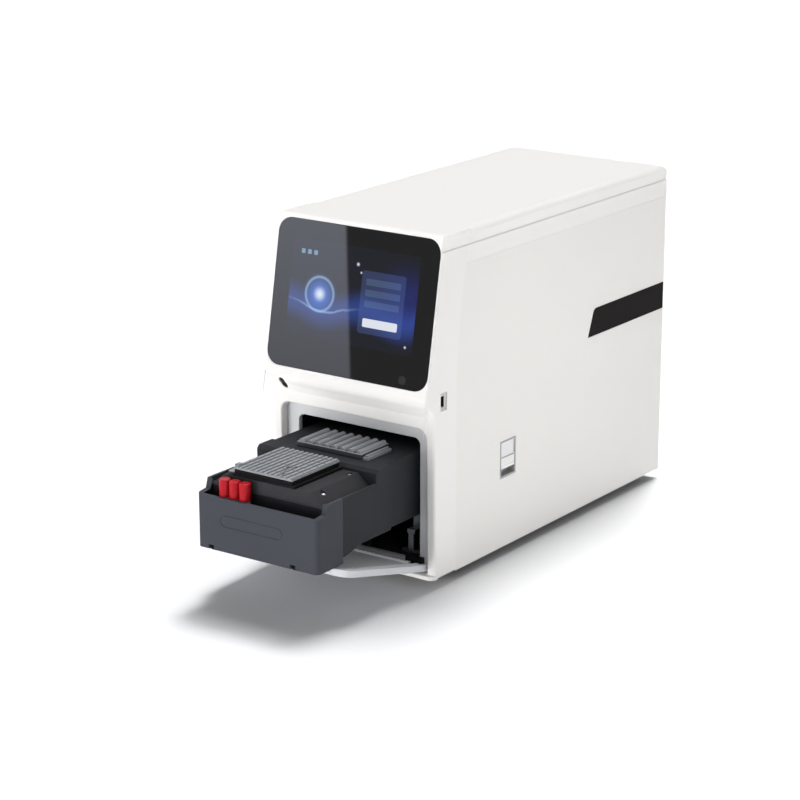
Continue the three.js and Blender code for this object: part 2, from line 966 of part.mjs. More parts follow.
function makeDrawerFront() {
  const side = outline([
    [0, blockFoot],
    [0, blockTop],
    [troughEnd - blockWall, blockTop + blockWall / 2],
    [troughEnd, trayTop],
    [blockLength, trayTop],
    [blockLength, blockFoot],
  ]);
  const body = common(
    prism("x", side, -drawerHalf, drawerHalf),
    prism("z", drawerPlan(), 0, cabinetHeight),
  );
  const trough = block(
    -innerHalf + blockWall,
    innerHalf - blockWall,
    blockWall,
    troughEnd + gap,
    troughFloor,
    cabinetHeight,
  );
  const ledge = block(
    -innerHalf,
    innerHalf,
    troughEnd,
    blockLength + overrun,
    deckFoot,
    cabinetHeight,
  );
  const hollow = block(
    -innerHalf + blockWall,
    innerHalf - blockWall,
    blockWall,
    blockLength + overrun,
    blockFoot + blockWall,
    troughFloor - blockWall,
  );
  const tubeHoles = tubeCentres.map((x) =>
    bar("z", tubeRadius + gap, troughFloor - blockWall - overrun, troughFloor + overrun, x, tubeSetback),
  );
  const forks = wheelPlaces.map(([, x]) => {
    const outer = wheelWidth / 2 + gap + sheet;
    return block(
      x - outer,
      x + outer,
      wheelSetback - wheelRadius,
      wheelSetback + wheelRadius,
      wheelHeight - sheet,
      blockFoot + blockWall,
    );
  });
  const wells = wheelPlaces.map(([, x]) =>
    block(
      x - wheelWidth / 2 - gap,
      x + wheelWidth / 2 + gap,
      -overrun,
      wheelSetback + wheelRadius + gap,
      wheelHeight - overrun,
      wheelHeight + wheelRadius + gap * 2,
    ),
  );
  const axleHoles = wheelPlaces.map(([, x]) =>
    bar(
      "x",
      latchPinRadius + pinPlay,
      x - wheelWidth / 2 - sheet,
      x + wheelWidth / 2 + sheet,
      wheelSetback,
      wheelHeight,
      smallSides,
    ),
  );
  return cut(
    join(cut(body, trough, ledge, hollow), ...forks),
    ...tubeHoles,
    ...wells,
    ...axleHoles,
  );
}

function makeWheel(x) {
  const axle = wheelWidth / 2 + sheet - gap;
  return join(
    bar("x", wheelRadius, x - wheelWidth / 2, x + wheelWidth / 2, wheelSetback, wheelHeight),
    bar("x", latchPinRadius, x - axle, x + axle, wheelSetback, wheelHeight, smallSides),
  );
}

function makeDrawerBody() {
  const start = blockLength + gap;
  const side = outline([
    [start, bodyFoot - bodyRampDrop],
    [start, trayTop],
    [rearBlockStart, trayTop],
    [rearBlockStart, rearBlockTop - rearBlockBevel],
    [rearBlockStart + rearBlockBevel, rearBlockTop],
    [bodyLength, rearBlockTop],
    [bodyLength, bodyFoot],
    [start + bodyRampLength, bodyFoot],
  ]);
  const ledge = block(-innerHalf, innerHalf, 0, rearBlockStart, deckFoot, cabinetHeight);
  const front = block(
    -innerHalf + blockWall,
    innerHalf - blockWall,
    start + blockWall,
    bodyLength + overrun,
    bodyFoot + blockWall,
    deckFoot - blockWall,
  );
  const rear = block(
    -innerHalf + blockWall,
    innerHalf - blockWall,
    rearBlockStart + blockWall,
    bodyLength + overrun,
    bodyFoot + blockWall,
    rearBlockTop - blockWall,
  );
  const steps = [-1, 1].map((sign) => {
    const near = sign * (drawerHalf - sideStepDepth);
    const far = sign * (drawerHalf + overrun);
    return block(
      Math.min(near, far),
      Math.max(near, far),
      sideStepStart,
      bodyLength + overrun,
      0,
      cabinetHeight,
    );
  });
  return cut(prism("x", side, -drawerHalf, drawerHalf), ledge, front, rear, ...steps);
}

function makeDeck() {
  const wide = innerHalf - gap;
  const foot = deckFoot + gap;
  const lip = gap * 6;
  const section = outline([
    [-wide, foot],
    [wide, foot],
    [wide, foot + lip],
    [deckTopHalfWidth + deckSlopeRun, foot + lip],
    [deckTopHalfWidth, deckTop],
    [-deckTopHalfWidth, deckTop],
    [-deckTopHalfWidth - deckSlopeRun, foot + lip],
    [-wide, foot + lip],
  ]);
  return prism("y", section, troughEnd + gap, rearBlockStart - gap);
}

function makeCartridge() {
  const foot = deckTop + gap;
  const front = rearBlockStart - gap * 3 - cartridgeLength;
  const back = front + cartridgeLength;
  const right = cartridgeRight;
  const top = foot + cartridgeHeight - laneRise;
  const rim = cartridgeBase / 2;
  const plate = block(cartridgeLeft, right, front, back, foot, top);
  const skirtCut = cut(
    block(
      cartridgeLeft - overrun,
      right + overrun,
      front - overrun,
      back + overrun,
      foot - overrun,
      foot + cartridgeBase,
    ),
    block(
      cartridgeLeft + rim,
      right - rim,
      front + rim,
      back - rim,
      foot - overrun,
      foot + cartridgeBase + overrun,
    ),
  );
  const wall = rim + cartridgeWall;
  const underside = block(
    cartridgeLeft + wall,
    right - wall,
    front + wall,
    back - wall,
    foot - overrun,
    foot + cartridgeBase,
  );
  const pitch = cartridgeWidth / laneCount;
  const lanes = Array.from({ length: laneCount }, (_, i) => {
    const x = cartridgeLeft + (i + 0.5) * pitch;
    return block(
      x - pitch / 4,
      x + pitch / 4,
      front + rim,
      back - rim,
      top - gap,
      top + laneRise,
    );
  });
  return join(cut(plate, skirtCut, underside), ...lanes);
}

function makeRack() {
  const foot = rearBlockTop + gap;
  const right = rackLeft + rackWidth;
  const top = foot + rackHeight - laneRise;
  const pitch = rackWidth / laneCount;
  const lanes = Array.from({ length: laneCount }, (_, i) => {
    const x = rackLeft + (i + 0.5) * pitch;
    const reach = pitch / 3.2;
    return bar("y", reach, rackStart + laneRise, rackStart + rackLength - laneRise, x, top - gap, smallSides);
  });
  const keep = block(
    rackLeft,
    right,
    rackStart,
    rackStart + rackLength,
    foot,
    top + rackHeight,
  );
  const plate = block(rackLeft, right, rackStart, rackStart + rackLength, foot, top);
  return common(join(plate, ...lanes), keep);
}

function makeStrip() {
  const left = rackLeft + rackWidth + stripOffset;
  const foot = rearBlockTop + gap;
  const start = rackStart - stripOffset / 2;
  const base = block(left, left + stripWidth, start, start + stripLength, foot, foot + rackHeight / 2);
  const ridge = block(
    left + stripWidth / 4,
    left + stripWidth - stripWidth / 4,
    start + stripWidth / 4,
    start + stripLength - stripWidth / 4,
    foot,
    foot + rackHeight - laneRise,
  );
  return join(base, ridge);
}

function makeTube(x) {
  const foot = blockFoot + blockWall + gap;
  const top = blockTop + capHeight / 3;
  const wall = tubeRadius / 6;
  const profile = [
    [0, foot],
    [tubeRadius / 2, foot + tubeRadius / 4],
    [tubeRadius, foot + tubeRadius],
    [tubeRadius, blockTop - gap],
    [tubeRadius - wall, blockTop - gap],
    [tubeRadius - wall, top],
    [tubeRadius - wall * 2, top],
    [tubeRadius - wall * 2, foot + tubeRadius],
    [0, foot + tubeRadius / 2],
  ].map(([r, z]) => new THREE.Vector2(r, z));
  return new THREE.LatheGeometry(profile, smallSides)
    .rotateX(Math.PI / 2)
    .translate(x, tubeSetback, 0);
}

function makeCap(x) {
  const foot = blockTop;
  const top = foot + capHeight;
  const bore = tubeRadius - tubeRadius / 6 + gap;
  const boreTop = foot + capHeight / 3 + gap;
  const edge = capRadius / 6;
  const profile = [
    [bore, foot],
    [capRadius, foot],
    [capRadius, top - edge],
    [capRadius - edge, top],
    [0, top],
    [0, boreTop],
    [bore, boreTop],
    [bore, foot],
  ].map(([r, z]) => new THREE.Vector2(r, z));
  return new THREE.LatheGeometry(profile, smallSides)
    .rotateX(Math.PI / 2)
    .translate(x, tubeSetback, 0);
}

const carriageEnd = bodyLength - blockWall;
const carriageStart = carriageEnd - carriageLength;

function makeCarriage(side) {
  const middle = side * railCentre;
  const channel = railHead / 2 + gap;
  const foot = railTop - railHead / 2;
  return cut(
    block(
      middle - carriageWidth / 2,
      middle + carriageWidth / 2,
      carriageStart,
      carriageEnd,
      foot,
      bodyFoot - gap,
    ),
    block(
      middle - channel,
      middle + channel,
      carriageStart - overrun,
      carriageEnd + overrun,
      foot - overrun,
      railTop + gap,
    ),
  );
}

function makeNut() {
  const end = carriageEnd - (carriageLength - nutLength) / 2;
  return cut(
    block(
      -nutWidth / 2,
      nutWidth / 2,
      end - nutLength,
      end,
      screwHeight - screwRadius * 2,
      bodyFoot - gap,
    ),
    bar("y", screwRadius + gap, end - nutLength - overrun, end + overrun, 0, screwHeight),
  );
}

function makeDrawer() {
  const group = new THREE.Group();
  group.position.y = -drawerReach;
  group.add(piece("drawer_front", makeDrawerFront(), finish.charcoal));
  group.add(piece("drawer_body", makeDrawerBody(), finish.charcoal));
  group.add(piece("drawer_deck", makeDeck(), finish.charcoal));
  group.add(piece("reagent_cartridge", makeCartridge(), finish.tray));
  group.add(piece("strip_rack", makeRack(), finish.tray));
  group.add(piece("side_strip", makeStrip(), finish.tray));
  tubeCentres.forEach((x, i) => {
    group.add(piece(`sample_tube_${i + 1}`, makeTube(x), finish.clear));
    group.add(piece(`tube_cap_${i + 1}`, makeCap(x), finish.red));
  });
  for (const [name, x] of wheelPlaces) group.add(piece(name, makeWheel(x), finish.black));
  group.add(piece("carriage_left", makeCarriage(-1), finish.steel));
  group.add(piece("carriage_right", makeCarriage(1), finish.steel));
  group.add(piece("screw_nut", makeNut(), finish.steel));
  return group;
}

// Bay, rails and drawer drive

const railStart = linerStart + carriageWidth / 2;
const railEnd = linerEnd - chassisSheet * 2;
const motorStart = linerEnd + gap;
const bearingLength = railStart - linerStart - gap;

function makeLiner() {
  const skirt = sheet + gap;
  const outer = block(-linerOuter, linerOuter, linerStart, linerEnd, skirt, linerTop);
  const bay = block(
    -linerInner,
    linerInner,
    linerStart - overrun,
    linerEnd - chassisSheet,
    mouthFoot,
    mouthTop + linerWall,
  );
  const screwHole = bar("y", screwRadius * 2, linerEnd - overrun, linerEnd + overrun, 0, screwHeight);
  const under = block(
    -linerInner,
    linerInner,
    linerStart - overrun,
    linerEnd + overrun,
    skirt - overrun,
    mouthFoot - linerWall,
  );
  const frontSkirt = block(
    -linerOuter - overrun,
    linerOuter + overrun,
    linerStart - overrun,
    fasciaDepth + gap,
    skirt - overrun,
    fasciaWall + gap,
  );
  return cut(outer, bay, under, frontSkirt, screwHole, rodSlot());
}

// The way down through the shelf and the bay's roof for the head's rods.
function rodSlot() {
  const halfSlot = (rodCount / 2) * rodPitch + rodRadius;
  return block(
    -halfSlot,
    halfSlot,
    headSetback - rodPitch,
    headSetback + rodPitch,
    mouthTop - overrun,
    shelfTop + overrun,
  );
}

function makeRail(side) {
  const middle = side * railCentre;
  const foot = mouthFoot + gap;
  const web = railHead / 3;
  const neck = railTop - railHead / 2;
  const section = outline([
    [middle - railBase / 2, foot],
    [middle + railBase / 2, foot],
    [middle + railBase / 2, foot + web],
    [middle + web, foot + web],
    [middle + web, neck],
    [middle + railHead / 2, neck],
    [middle + railHead / 2, railTop],
    [middle - railHead / 2, railTop],
    [middle - railHead / 2, neck],
    [middle - web, neck],
    [middle - web, foot + web],
    [middle - railBase / 2, foot + web],
  ]);
  return prism("y", section, railStart, railEnd);
}

function makeBay() {
  const group = new THREE.Group();
  const shelfHalf = panelInner - chassisInset;
  group.add(piece("bay_liner", makeLiner(), finish.black));
  group.add(piece("rail_left", makeRail(-1), finish.steel));
  group.add(piece("rail_right", makeRail(1), finish.steel));

  const bearing = cut(
    block(
      -nutWidth / 2,
      nutWidth / 2,
      linerStart + gap,
      linerStart + bearingLength,
      mouthFoot + gap,
      screwHeight + screwRadius * 2,
    ),
    bar("y", screwRadius + pinPlay, linerStart - overrun, railStart, 0, screwHeight),
  );
  group.add(piece("screw_bearing", bearing, finish.aluminium));

  const coupling = screwRadius * 2;
  const screwEnd = motorStart + coupling;
  const screw = bar("y", screwRadius, linerStart + gap * 2, screwEnd, 0, screwHeight);
  group.add(piece("drive_screw", screw, finish.steel));

  const motor = cut(
    block(
      -motorSize / 2,
      motorSize / 2,
      motorStart,
      motorStart + motorLength,
      screwHeight - motorSize / 2,
      screwHeight + motorSize / 2,
    ),
    bar("y", screwRadius + pinPlay, motorStart - overrun, screwEnd + gap, 0, screwHeight),
  );
  group.add(piece("drawer_motor", motor, finish.black));

  const shelf = cut(
    block(-shelfHalf, shelfHalf, fasciaDepth + chassisInset, rearInside - gap, shelfFoot, shelfTop),
    rodSlot(),
  );
  group.add(piece("equipment_shelf", shelf, finish.steel));
  group.add(makeHingeBlockPiece("door_hinge_block_left", -1));
  group.add(makeHingeBlockPiece("door_hinge_block_right", 1));
  return group;
}

const makeHingeBlockPiece = (name, side) => piece(name, makeHingeBlock(side), finish.black);

// Head over the bay

const liftFoot = shelfTop + gap;
const liftTop = liftFoot + liftHeight;
const liftStart = headSetback + rodPitch + gap;
const liftAxis = liftStart + carriageDepth / 2;
const liftScrewFoot = liftFoot + liftPlate - gap * 5;
const liftMotorFoot = liftTop + gap;

function makeLiftFrame() {
  const side = liftWidth / 2;
  const back = liftStart + liftBaseLength;
  const base = block(-side, side, liftStart, back, liftFoot, liftFoot + liftPlate);
  const wall = block(-side, side, back - liftPlate, back, liftFoot, liftTop);
  const roof = block(-side, side, liftStart, back, liftTop - liftPlate, liftTop);
  const guides = [-1, 1].map((sign) =>
    bar("z", guideRadius, liftFoot + gap, liftTop - gap, sign * guideCentre, liftAxis),
  );
  const lowerSocket = bar(
    "z",
    screwRadius + pinPlay,
    liftScrewFoot - gap,
    liftFoot + liftPlate + overrun,
    0,
    liftAxis,
  );
  const upperHole = bar(
    "z",
    screwRadius + pinPlay,
    liftTop - liftPlate - overrun,
    liftTop + overrun,
    0,
    liftAxis,
  );
  return cut(join(base, wall, roof, ...guides), lowerSocket, upperHole);
}

function makeHeadCarriage() {
  const foot = liftFoot + carriageFoot;
  const side = liftWidth / 2 - liftPlate;
  const front = headSetback - rodPitch;
  const back = liftStart + carriageDepth;
  const body = block(-side, side, front, back, foot, foot + carriageHeight);
  const rods = Array.from({ length: rodCount }, (_, i) =>
    bar(
      "z",
      rodRadius,
      foot - rodLength,
      foot + gap,
      (i - (rodCount - 1) / 2) * rodPitch,
      headSetback,
      smallSides,
    ),
  );
  const holes = [-guideCentre, 0, guideCentre].map((x) =>
    bar(
      "z",
      (x === 0 ? screwRadius : guideRadius) + gap,
      foot - overrun,
      foot + carriageHeight + overrun,
      x,
      liftAxis,
    ),
  );
  return cut(join(body, ...rods), ...holes);
}

function makeHead() {
  const group = new THREE.Group();
  const motorHalf = motorSize / 2;
  const screwTop = liftMotorFoot + screwRadius * 2;
  const motorMiddle = liftAxis;
  const motor = cut(
    block(
      -motorHalf,
      motorHalf,
      motorMiddle - motorHalf,
      motorMiddle + motorHalf,
      liftMotorFoot,
      liftMotorFoot + motorSize,
    ),
    bar("z", screwRadius + pinPlay, liftMotorFoot - overrun, screwTop + gap, 0, liftAxis),
  );
  group.add(piece("lift_frame", makeLiftFrame(), finish.aluminium));
  group.add(piece("rod_head", makeHeadCarriage(), finish.charcoal));
  group.add(
    piece("lift_screw", bar("z", screwRadius, liftScrewFoot, screwTop, 0, liftAxis), finish.steel),
  );
  group.add(piece("lift_motor", motor, finish.black));
  return group;
}

// Thermal block and optics

function makeThermal() {
  const group = new THREE.Group();
  const foot = shelfTop + gap;
  const back = moduleStart + moduleLength;
  const sinkTop = foot + sinkHeight;
  const finPitch = (moduleHalfWidth * 2) / finCount;
  const slots = Array.from({ length: finCount - 1 }, (_, i) => {
    const x = -moduleHalfWidth + (i + 1) * finPitch;
    return block(
      x - finSlot / 2,
      x + finSlot / 2,
      moduleStart - overrun,
      back + overrun,
      foot - overrun,
      sinkTop - finSlot * 2,
    );
  });
  const sink = cut(
    block(-moduleHalfWidth, moduleHalfWidth, moduleStart, back, foot, sinkTop),
    ...slots,
  );
  const thermalFoot = sinkTop + gap;
  const thermalTop = thermalFoot + thermalHeight;
  const middle = moduleStart + moduleLength / 2;
  const wells = Array.from({ length: laneCount }, (_, i) =>
    bar(
      "z",
      rodRadius,
      thermalTop - thermalHeight / 2,
      thermalTop + overrun,
      (i - (laneCount - 1) / 2) * rodPitch,
      middle,
      smallSides,
    ),
  );
  const thermal = cut(
    block(
      -moduleHalfWidth + opticsLeg,
      moduleHalfWidth - opticsLeg,
      moduleStart + opticsLeg,
      back - opticsLeg,
      thermalFoot,
      thermalTop,
    ),
    ...wells,
  );
  const legX = moduleHalfWidth + gap * 2;
  const opticsFoot = thermalTop + opticsClear;
  const optics = cut(
    block(
      -legX - opticsLeg,
      legX + opticsLeg,
      moduleStart,
      back,
      foot,
      opticsFoot + opticsHeight,
    ),
    block(-legX, legX, moduleStart - overrun, back + overrun, foot - overrun, opticsFoot),
  );
  group.add(piece("heat_sink", sink, finish.aluminium));
  group.add(piece("thermal_block", thermal, finish.aluminium));
  group.add(piece("optics_module", optics, finish.black));
  return group;
}

// Electronics, fan and rear fittings

function makeBoard() {
  const inner = -panelInner + gap;
  const plateLeft = inner + boardStandoff;
  const foot = shelfTop + boardFoot;
  const back = boardStart + boardLength;
  const plate = block(
    plateLeft,
    plateLeft + boardThickness,
    boardStart,
    back,
    foot,
    foot + boardHeight,
  );
  const standoffs = [boardStart + boardStandoff, back - boardStandoff].flatMap((y) =>
    [foot + boardStandoff, foot + boardHeight - boardStandoff].map((z) =>
      bar("x", boardStandoff / 2, inner, plateLeft + gap, y, z, smallSides),
    ),
  );
  const chips = [1, 2, 3].map((i) =>
    block(
      plateLeft + boardThickness - gap,
      plateLeft + boardThickness + boardStandoff,
      boardStart + (i * boardLength) / 4 - boardStandoff * 2,
      boardStart + (i * boardLength) / 4 + boardStandoff * 2,
      foot + boardHeight / 3,
      foot + boardHeight / 2,
    ),
  );
  return join(plate, ...standoffs, ...chips);
}

function makeSupply() {
  const end = rearInside - chassisInset * 4;
  const start = motorStart + motorLength + chassisInset;
  const supplyLength = end - start;
  const foot = sheet + gap;
  const body = block(
    supplyLeft,
    supplyLeft + supplyWidth,
    start,
    end,
    foot,
    foot + supplyHeight,
  );
  const vents = [1, 2, 3, 4].map((i) =>
    block(
      supplyLeft + supplyWidth / 6,
      supplyLeft + supplyWidth - supplyWidth / 6,
      end - (i * supplyLength) / 5,
      end - (i * supplyLength) / 5 + finSlot,
      foot + supplyHeight - finSlot,
      foot + supplyHeight + overrun,
    ),
  );
  return cut(body, ...vents);
}

function makeFan() {
  const group = new THREE.Group();
  const back = rearInside - gap;
  const front = back - fanDepth;
  const side = fanSize / 2;
  const ringRadius = side - sheet;
  const strutDepth = sheet;
  const shaft = latchPinRadius * 2;
  const frame = cut(
    block(fanCentreX - side, fanCentreX + side, front, back, fanHeight - side, fanHeight + side),
    bar("y", ringRadius, front - overrun, back + overrun, fanCentreX, fanHeight),
  );
  const struts = join(
    block(
      fanCentreX - side + gap,
      fanCentreX + side - gap,
      back - strutDepth,
      back,
      fanHeight - sheet,
      fanHeight + sheet,
    ),
    block(
      fanCentreX - sheet,
      fanCentreX + sheet,
      back - strutDepth,
      back,
      fanHeight - side + gap,
      fanHeight + side - gap,
    ),
    bar("y", fanHub, back - strutDepth, back, fanCentreX, fanHeight),
  );
  const shaftHole = bar("y", shaft + pinPlay, front, back + overrun, fanCentreX, fanHeight, smallSides);
  const hubBack = back - strutDepth - gap;
  const blades = Array.from({ length: bladeCount }, (_, i) =>
    block(
      fanHub - sheet,
      ringRadius - sheet / 2,
      front + sheet - hubBack,
      -sheet,
      -sheet / 4,
      sheet / 4,
    )
      .rotateX(THREE.MathUtils.degToRad(35))
      .rotateY((2 * Math.PI * i) / bladeCount)
      .translate(fanCentreX, hubBack, fanHeight),
  );
  const room = bar("y", ringRadius - sheet / 2, front + sheet, hubBack, fanCentreX, fanHeight);
  const rotor = join(
    common(join(bar("y", fanHub, front + sheet, hubBack, fanCentreX, fanHeight), ...blades), room),
    bar("y", shaft, hubBack - gap, back - gap, fanCentreX, fanHeight, smallSides),
  );
  group.add(piece("fan_frame", cut(join(frame, struts), shaftHole), finish.black));
  group.add(piece("fan_rotor", rotor, finish.black));
  return group;
}

const rockerMiddle = inletLeft + inletWidth - rockerWidth - gap * 4;
const rockerHeightMiddle = inletFoot + inletHeight / 2;
const rockerAxis = cabinetDepth - rockerPivotDepth;

function makeInlet() {
  const face = cabinetDepth;
  const mouth = inletHeight - sheet * 3;
  const mouthLeft = inletLeft + sheet * 2;
  const mouthRight = mouthLeft + mouth * 1.3;
  const body = cut(
    block(
      inletLeft + gap,
      inletLeft + inletWidth - gap,
      face - inletDepth,
      face,
      inletFoot + gap,
      inletFoot + inletHeight - gap,
    ),
    block(
      mouthLeft,
      mouthRight,
      face - inletDepth + sheet,
      face + overrun,
      rockerHeightMiddle - mouth / 2,
      rockerHeightMiddle + mouth / 2,
    ),
    block(
      rockerMiddle - rockerWidth / 2 - gap,
      rockerMiddle + rockerWidth / 2 + gap,
      face - inletDepth / 2,
      face + overrun,
      rockerHeightMiddle - rockerHeight / 2 - gap,
      rockerHeightMiddle + rockerHeight / 2 + gap,
    ),
    bar(
      "x",
      latchPinRadius + pinPlay,
      rockerMiddle - rockerWidth / 2 - sheet,
      rockerMiddle + rockerWidth / 2 + sheet,
      rockerAxis,
      rockerHeightMiddle,
      smallSides,
    ),
  );
  const pins = [-1, 0, 1].map((i) => {
    const x = (mouthLeft + mouthRight) / 2 + (i * mouth) / 2.6;
    const z = rockerHeightMiddle + (i === 0 ? sheet : -sheet);
    return block(
      x - sheet / 3,
      x + sheet / 3,
      face - inletDepth + sheet - gap,
      face - sheet * 2,
      z - sheet,
      z + sheet,
    );
  });
  return join(body, ...pins);
}

function makeRocker() {
  const side = rockerWidth / 2;
  const tip = rockerHeight / 2 - gap * 3;
  const lens = outline([
    [-sheet, -tip],
    [sheet * 1.6, -tip],
    [sheet, 0],
    [sheet * 1.6, tip],
    [-sheet, tip],
    [-sheet * 1.6, 0],
  ]);
  const body = join(
    prism("x", lens, -side, side),
    bar("x", latchPinRadius, -side - sheet + gap, side + sheet - gap, 0, 0, smallSides),
  );
  const group = new THREE.Group();
  group.position.set(rockerMiddle, rockerAxis, rockerHeightMiddle);
  group.rotation.x = THREE.MathUtils.degToRad(-rockerTilt);
  group.add(piece("power_switch", body, finish.black));
  return group;
}

function makePorts() {
  const face = cabinetDepth;
  const right = portsLeft + portsWidth;
  const body = block(
    portsLeft + gap,
    right - gap,
    face - portsDepth,
    face,
    portsFoot + gap,
    portsFoot + portsHeight - gap,
  );
  const pitch = portsWidth / 3;
  const sockets = [0, 1, 2].map((i) =>
    block(
      portsLeft + i * pitch + sheet,
      portsLeft + (i + 1) * pitch - sheet,
      face - portsDepth + sheet,
      face + overrun,
      portsFoot + sheet * 1.5,
      portsFoot + portsHeight - sheet * 1.5,
    ),
  );
  return cut(body, ...sockets);
}

function makeElectronics() {
  const group = new THREE.Group();
  group.add(piece("main_board", makeBoard(), finish.circuit));
  group.add(piece("power_supply", makeSupply(), finish.aluminium));
  group.add(makeFan());
  group.add(piece("power_inlet", makeInlet(), finish.black));
  group.add(makeRocker());
  group.add(piece("rear_ports", makePorts(), finish.black));
  return group;
}

// The whole instrument, moved so that its footprint is centred and it stands on z = 0

const instrument = new THREE.Group();
instrument.position.set(0, (drawerReach - cabinetDepth) / 2, footHeight + gap);
instrument.add(
  makeFront(),
  makeCabinet(),
  makeLatch(),
  makeDoor(),
  makeDrawer(),
  makeBay(),
  makeHead(),
  makeThermal(),
  makeElectronics(),
);

export default instrument;
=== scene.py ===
"""The finished looks of a bench-top automated PCR instrument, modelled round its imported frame.

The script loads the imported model, models the shells, glass, tray and small parts that show, gives
every part its material, and sets the studio. All sizes are in a group's own millimetres: in the
case's, y = 0 is the datum of the front and z = 0 is the cabinet's bottom edge.

OVERRUN and BEYOND are how far tools reach past what they cut, GAP is the clearance between parts,
HAIR keeps two faces out of one plane, and TOUCH is how near counts as on a line.
"""

from __future__ import annotations

import json
import logging
import math
from dataclasses import dataclass
from enum import Enum
from itertools import pairwise
from typing import Any, Callable, Sequence

import bpy
from mathutils import Matrix, Vector

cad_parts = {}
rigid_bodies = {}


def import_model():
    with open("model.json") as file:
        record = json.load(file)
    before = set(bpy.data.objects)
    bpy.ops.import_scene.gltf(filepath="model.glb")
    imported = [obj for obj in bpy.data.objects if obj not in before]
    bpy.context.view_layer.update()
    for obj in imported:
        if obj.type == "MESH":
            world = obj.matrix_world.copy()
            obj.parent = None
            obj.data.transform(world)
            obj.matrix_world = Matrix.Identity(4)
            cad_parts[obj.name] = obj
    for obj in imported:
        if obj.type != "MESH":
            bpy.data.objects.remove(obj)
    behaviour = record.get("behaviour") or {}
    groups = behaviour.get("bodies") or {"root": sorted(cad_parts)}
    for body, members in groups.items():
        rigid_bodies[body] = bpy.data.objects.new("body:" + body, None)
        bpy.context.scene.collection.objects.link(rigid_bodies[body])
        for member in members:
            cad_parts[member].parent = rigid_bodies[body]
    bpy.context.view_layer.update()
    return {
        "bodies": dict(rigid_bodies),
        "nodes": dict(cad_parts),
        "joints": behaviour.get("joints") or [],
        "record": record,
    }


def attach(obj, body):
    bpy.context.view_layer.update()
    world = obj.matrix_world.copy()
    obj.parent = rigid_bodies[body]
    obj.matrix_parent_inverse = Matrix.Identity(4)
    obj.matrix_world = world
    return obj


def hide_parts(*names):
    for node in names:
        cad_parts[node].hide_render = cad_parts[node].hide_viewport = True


Object = bpy.types.Object
Material = bpy.types.Material
Point = tuple[float, float]
Point3 = tuple[float, float, float]
Colour = tuple[float, float, float, float]

MM = 0.001
OVERRUN = 6.0
BEYOND = 300.0
GAP = 0.3
HAIR = 0.02
TOUCH = 0.1

log = logging.getLogger("instrument")


class Axis(Enum):
    """The axis that a bar, slab or turned part follows."""

    X = 0
    Y = 1
    Z = 2

    @property
    def unit(self) -> Vector:
        """The axis as a vector of length one."""
        return Vector([1.0 if i == self.value else 0.0 for i in range(3)])

    def point(self, along: float, across: Point) -> Point3:
        """The point at a place along the axis, with its other two coordinates in X, Y, Z order."""
        left = list(across)
        left.insert(self.value, along)
        return (left[0], left[1], left[2])


@dataclass(frozen=True)
class Datum:
    """Where a group's own millimetres start in the row frame."""

    y: float
    z: float

    def metres(self, point: Point3) -> Vector:
        """A point of the group, in metres in the row frame."""
        return Vector((point[0], point[1] + self.y, point[2] + self.z)) * MM


CASE = Datum(y=-179.5, z=13.3)
DRAWER = Datum(y=-388.5, z=13.3)
ORIGIN = Datum(y=0.0, z=0.0)


# Outlines


def arc(centre: Point, radius: float, start: float, end: float, steps: int = 8) -> list[Point]:
    """The points of an arc.

    Args:
        centre: The arc's centre.
        radius: Its radius.
        start: The angle where it starts, in degrees.
        end: The angle where it ends, in degrees.
        steps: The number of straight lines in it.

    Returns:
        The points from start to end.
    """
    points = []
    for step in range(steps + 1):
        angle = math.radians(start + (end - start) * step / steps)
        points.append((centre[0] + radius * math.cos(angle), centre[1] + radius * math.sin(angle)))
    return points


def curve(start: Point, pull: Point, end: Point, steps: int = 10) -> list[Point]:
    """The points of a curve from start to end that is pulled towards a third point.

    Args:
        start: The first point.
        pull: The point that the curve leans towards.
        end: The last point.
        steps: The number of straight lines in it.

    Returns:
        The points from start to end.
    """
    points = []
    for step in range(steps + 1):
        t = step / steps
        points.append(
            tuple(
                (1 - t) ** 2 * start[i] + 2 * t * (1 - t) * pull[i] + t**2 * end[i]
                for i in range(2)
            )
        )
    return points


def rounded(
    low: Point,
    high: Point,
    radius: float,
    foot_radius: float | None = None,
    steps: int = 8,
    inset: float = 0.0,
) -> list[Point]:
    """The points of a rectangle with round corners.

    Args:
        low: The corner with the lowest coordinates.
        high: The corner with the highest coordinates.
        radius: The radius of the upper corners.
        foot_radius: The radius of the lower corners, or None for the same.
        steps: The number of straight lines in a corner.
        inset: How far every side is drawn in.

    Returns:
        The points, once round.
    """
    foot = radius if foot_radius is None else foot_radius
    x0, y0 = low[0] + inset, low[1] + inset
    x1, y1 = high[0] - inset, high[1] - inset
    return [
        *arc((x1 - foot, y0 + foot), foot, -90, 0, steps),
        *arc((x1 - radius, y1 - radius), radius, 0, 90, steps),
        *arc((x0 + radius, y1 - radius), radius, 90, 180, steps),
        *arc((x0 + foot, y0 + foot), foot, 180, 270, steps),
    ]


def pane(centre: Point, half: Point, radius: float, inset: float = 0.0) -> list[Point]:
    """The points of a rectangle with round corners, given by its centre and half its size."""
    low = (centre[0] - half[0], centre[1] - half[1])
    high = (centre[0] + half[0], centre[1] + half[1])
    return rounded(low, high, radius, inset=inset)


# Bench work: primitives, cuts and soft edges


def only(piece: Object) -> Object:
    """Makes a piece the one that operators act on, and returns it."""
    bpy.ops.object.select_all(action="DESELECT")
    piece.select_set(True)
    bpy.context.view_layer.objects.active = piece
    return piece


def settle(piece: Object) -> Object:
    """Brings a piece's place, turn and size into its mesh, and returns it."""
    only(piece)
    bpy.ops.object.transform_apply(location=True, rotation=True, scale=True)
    return piece


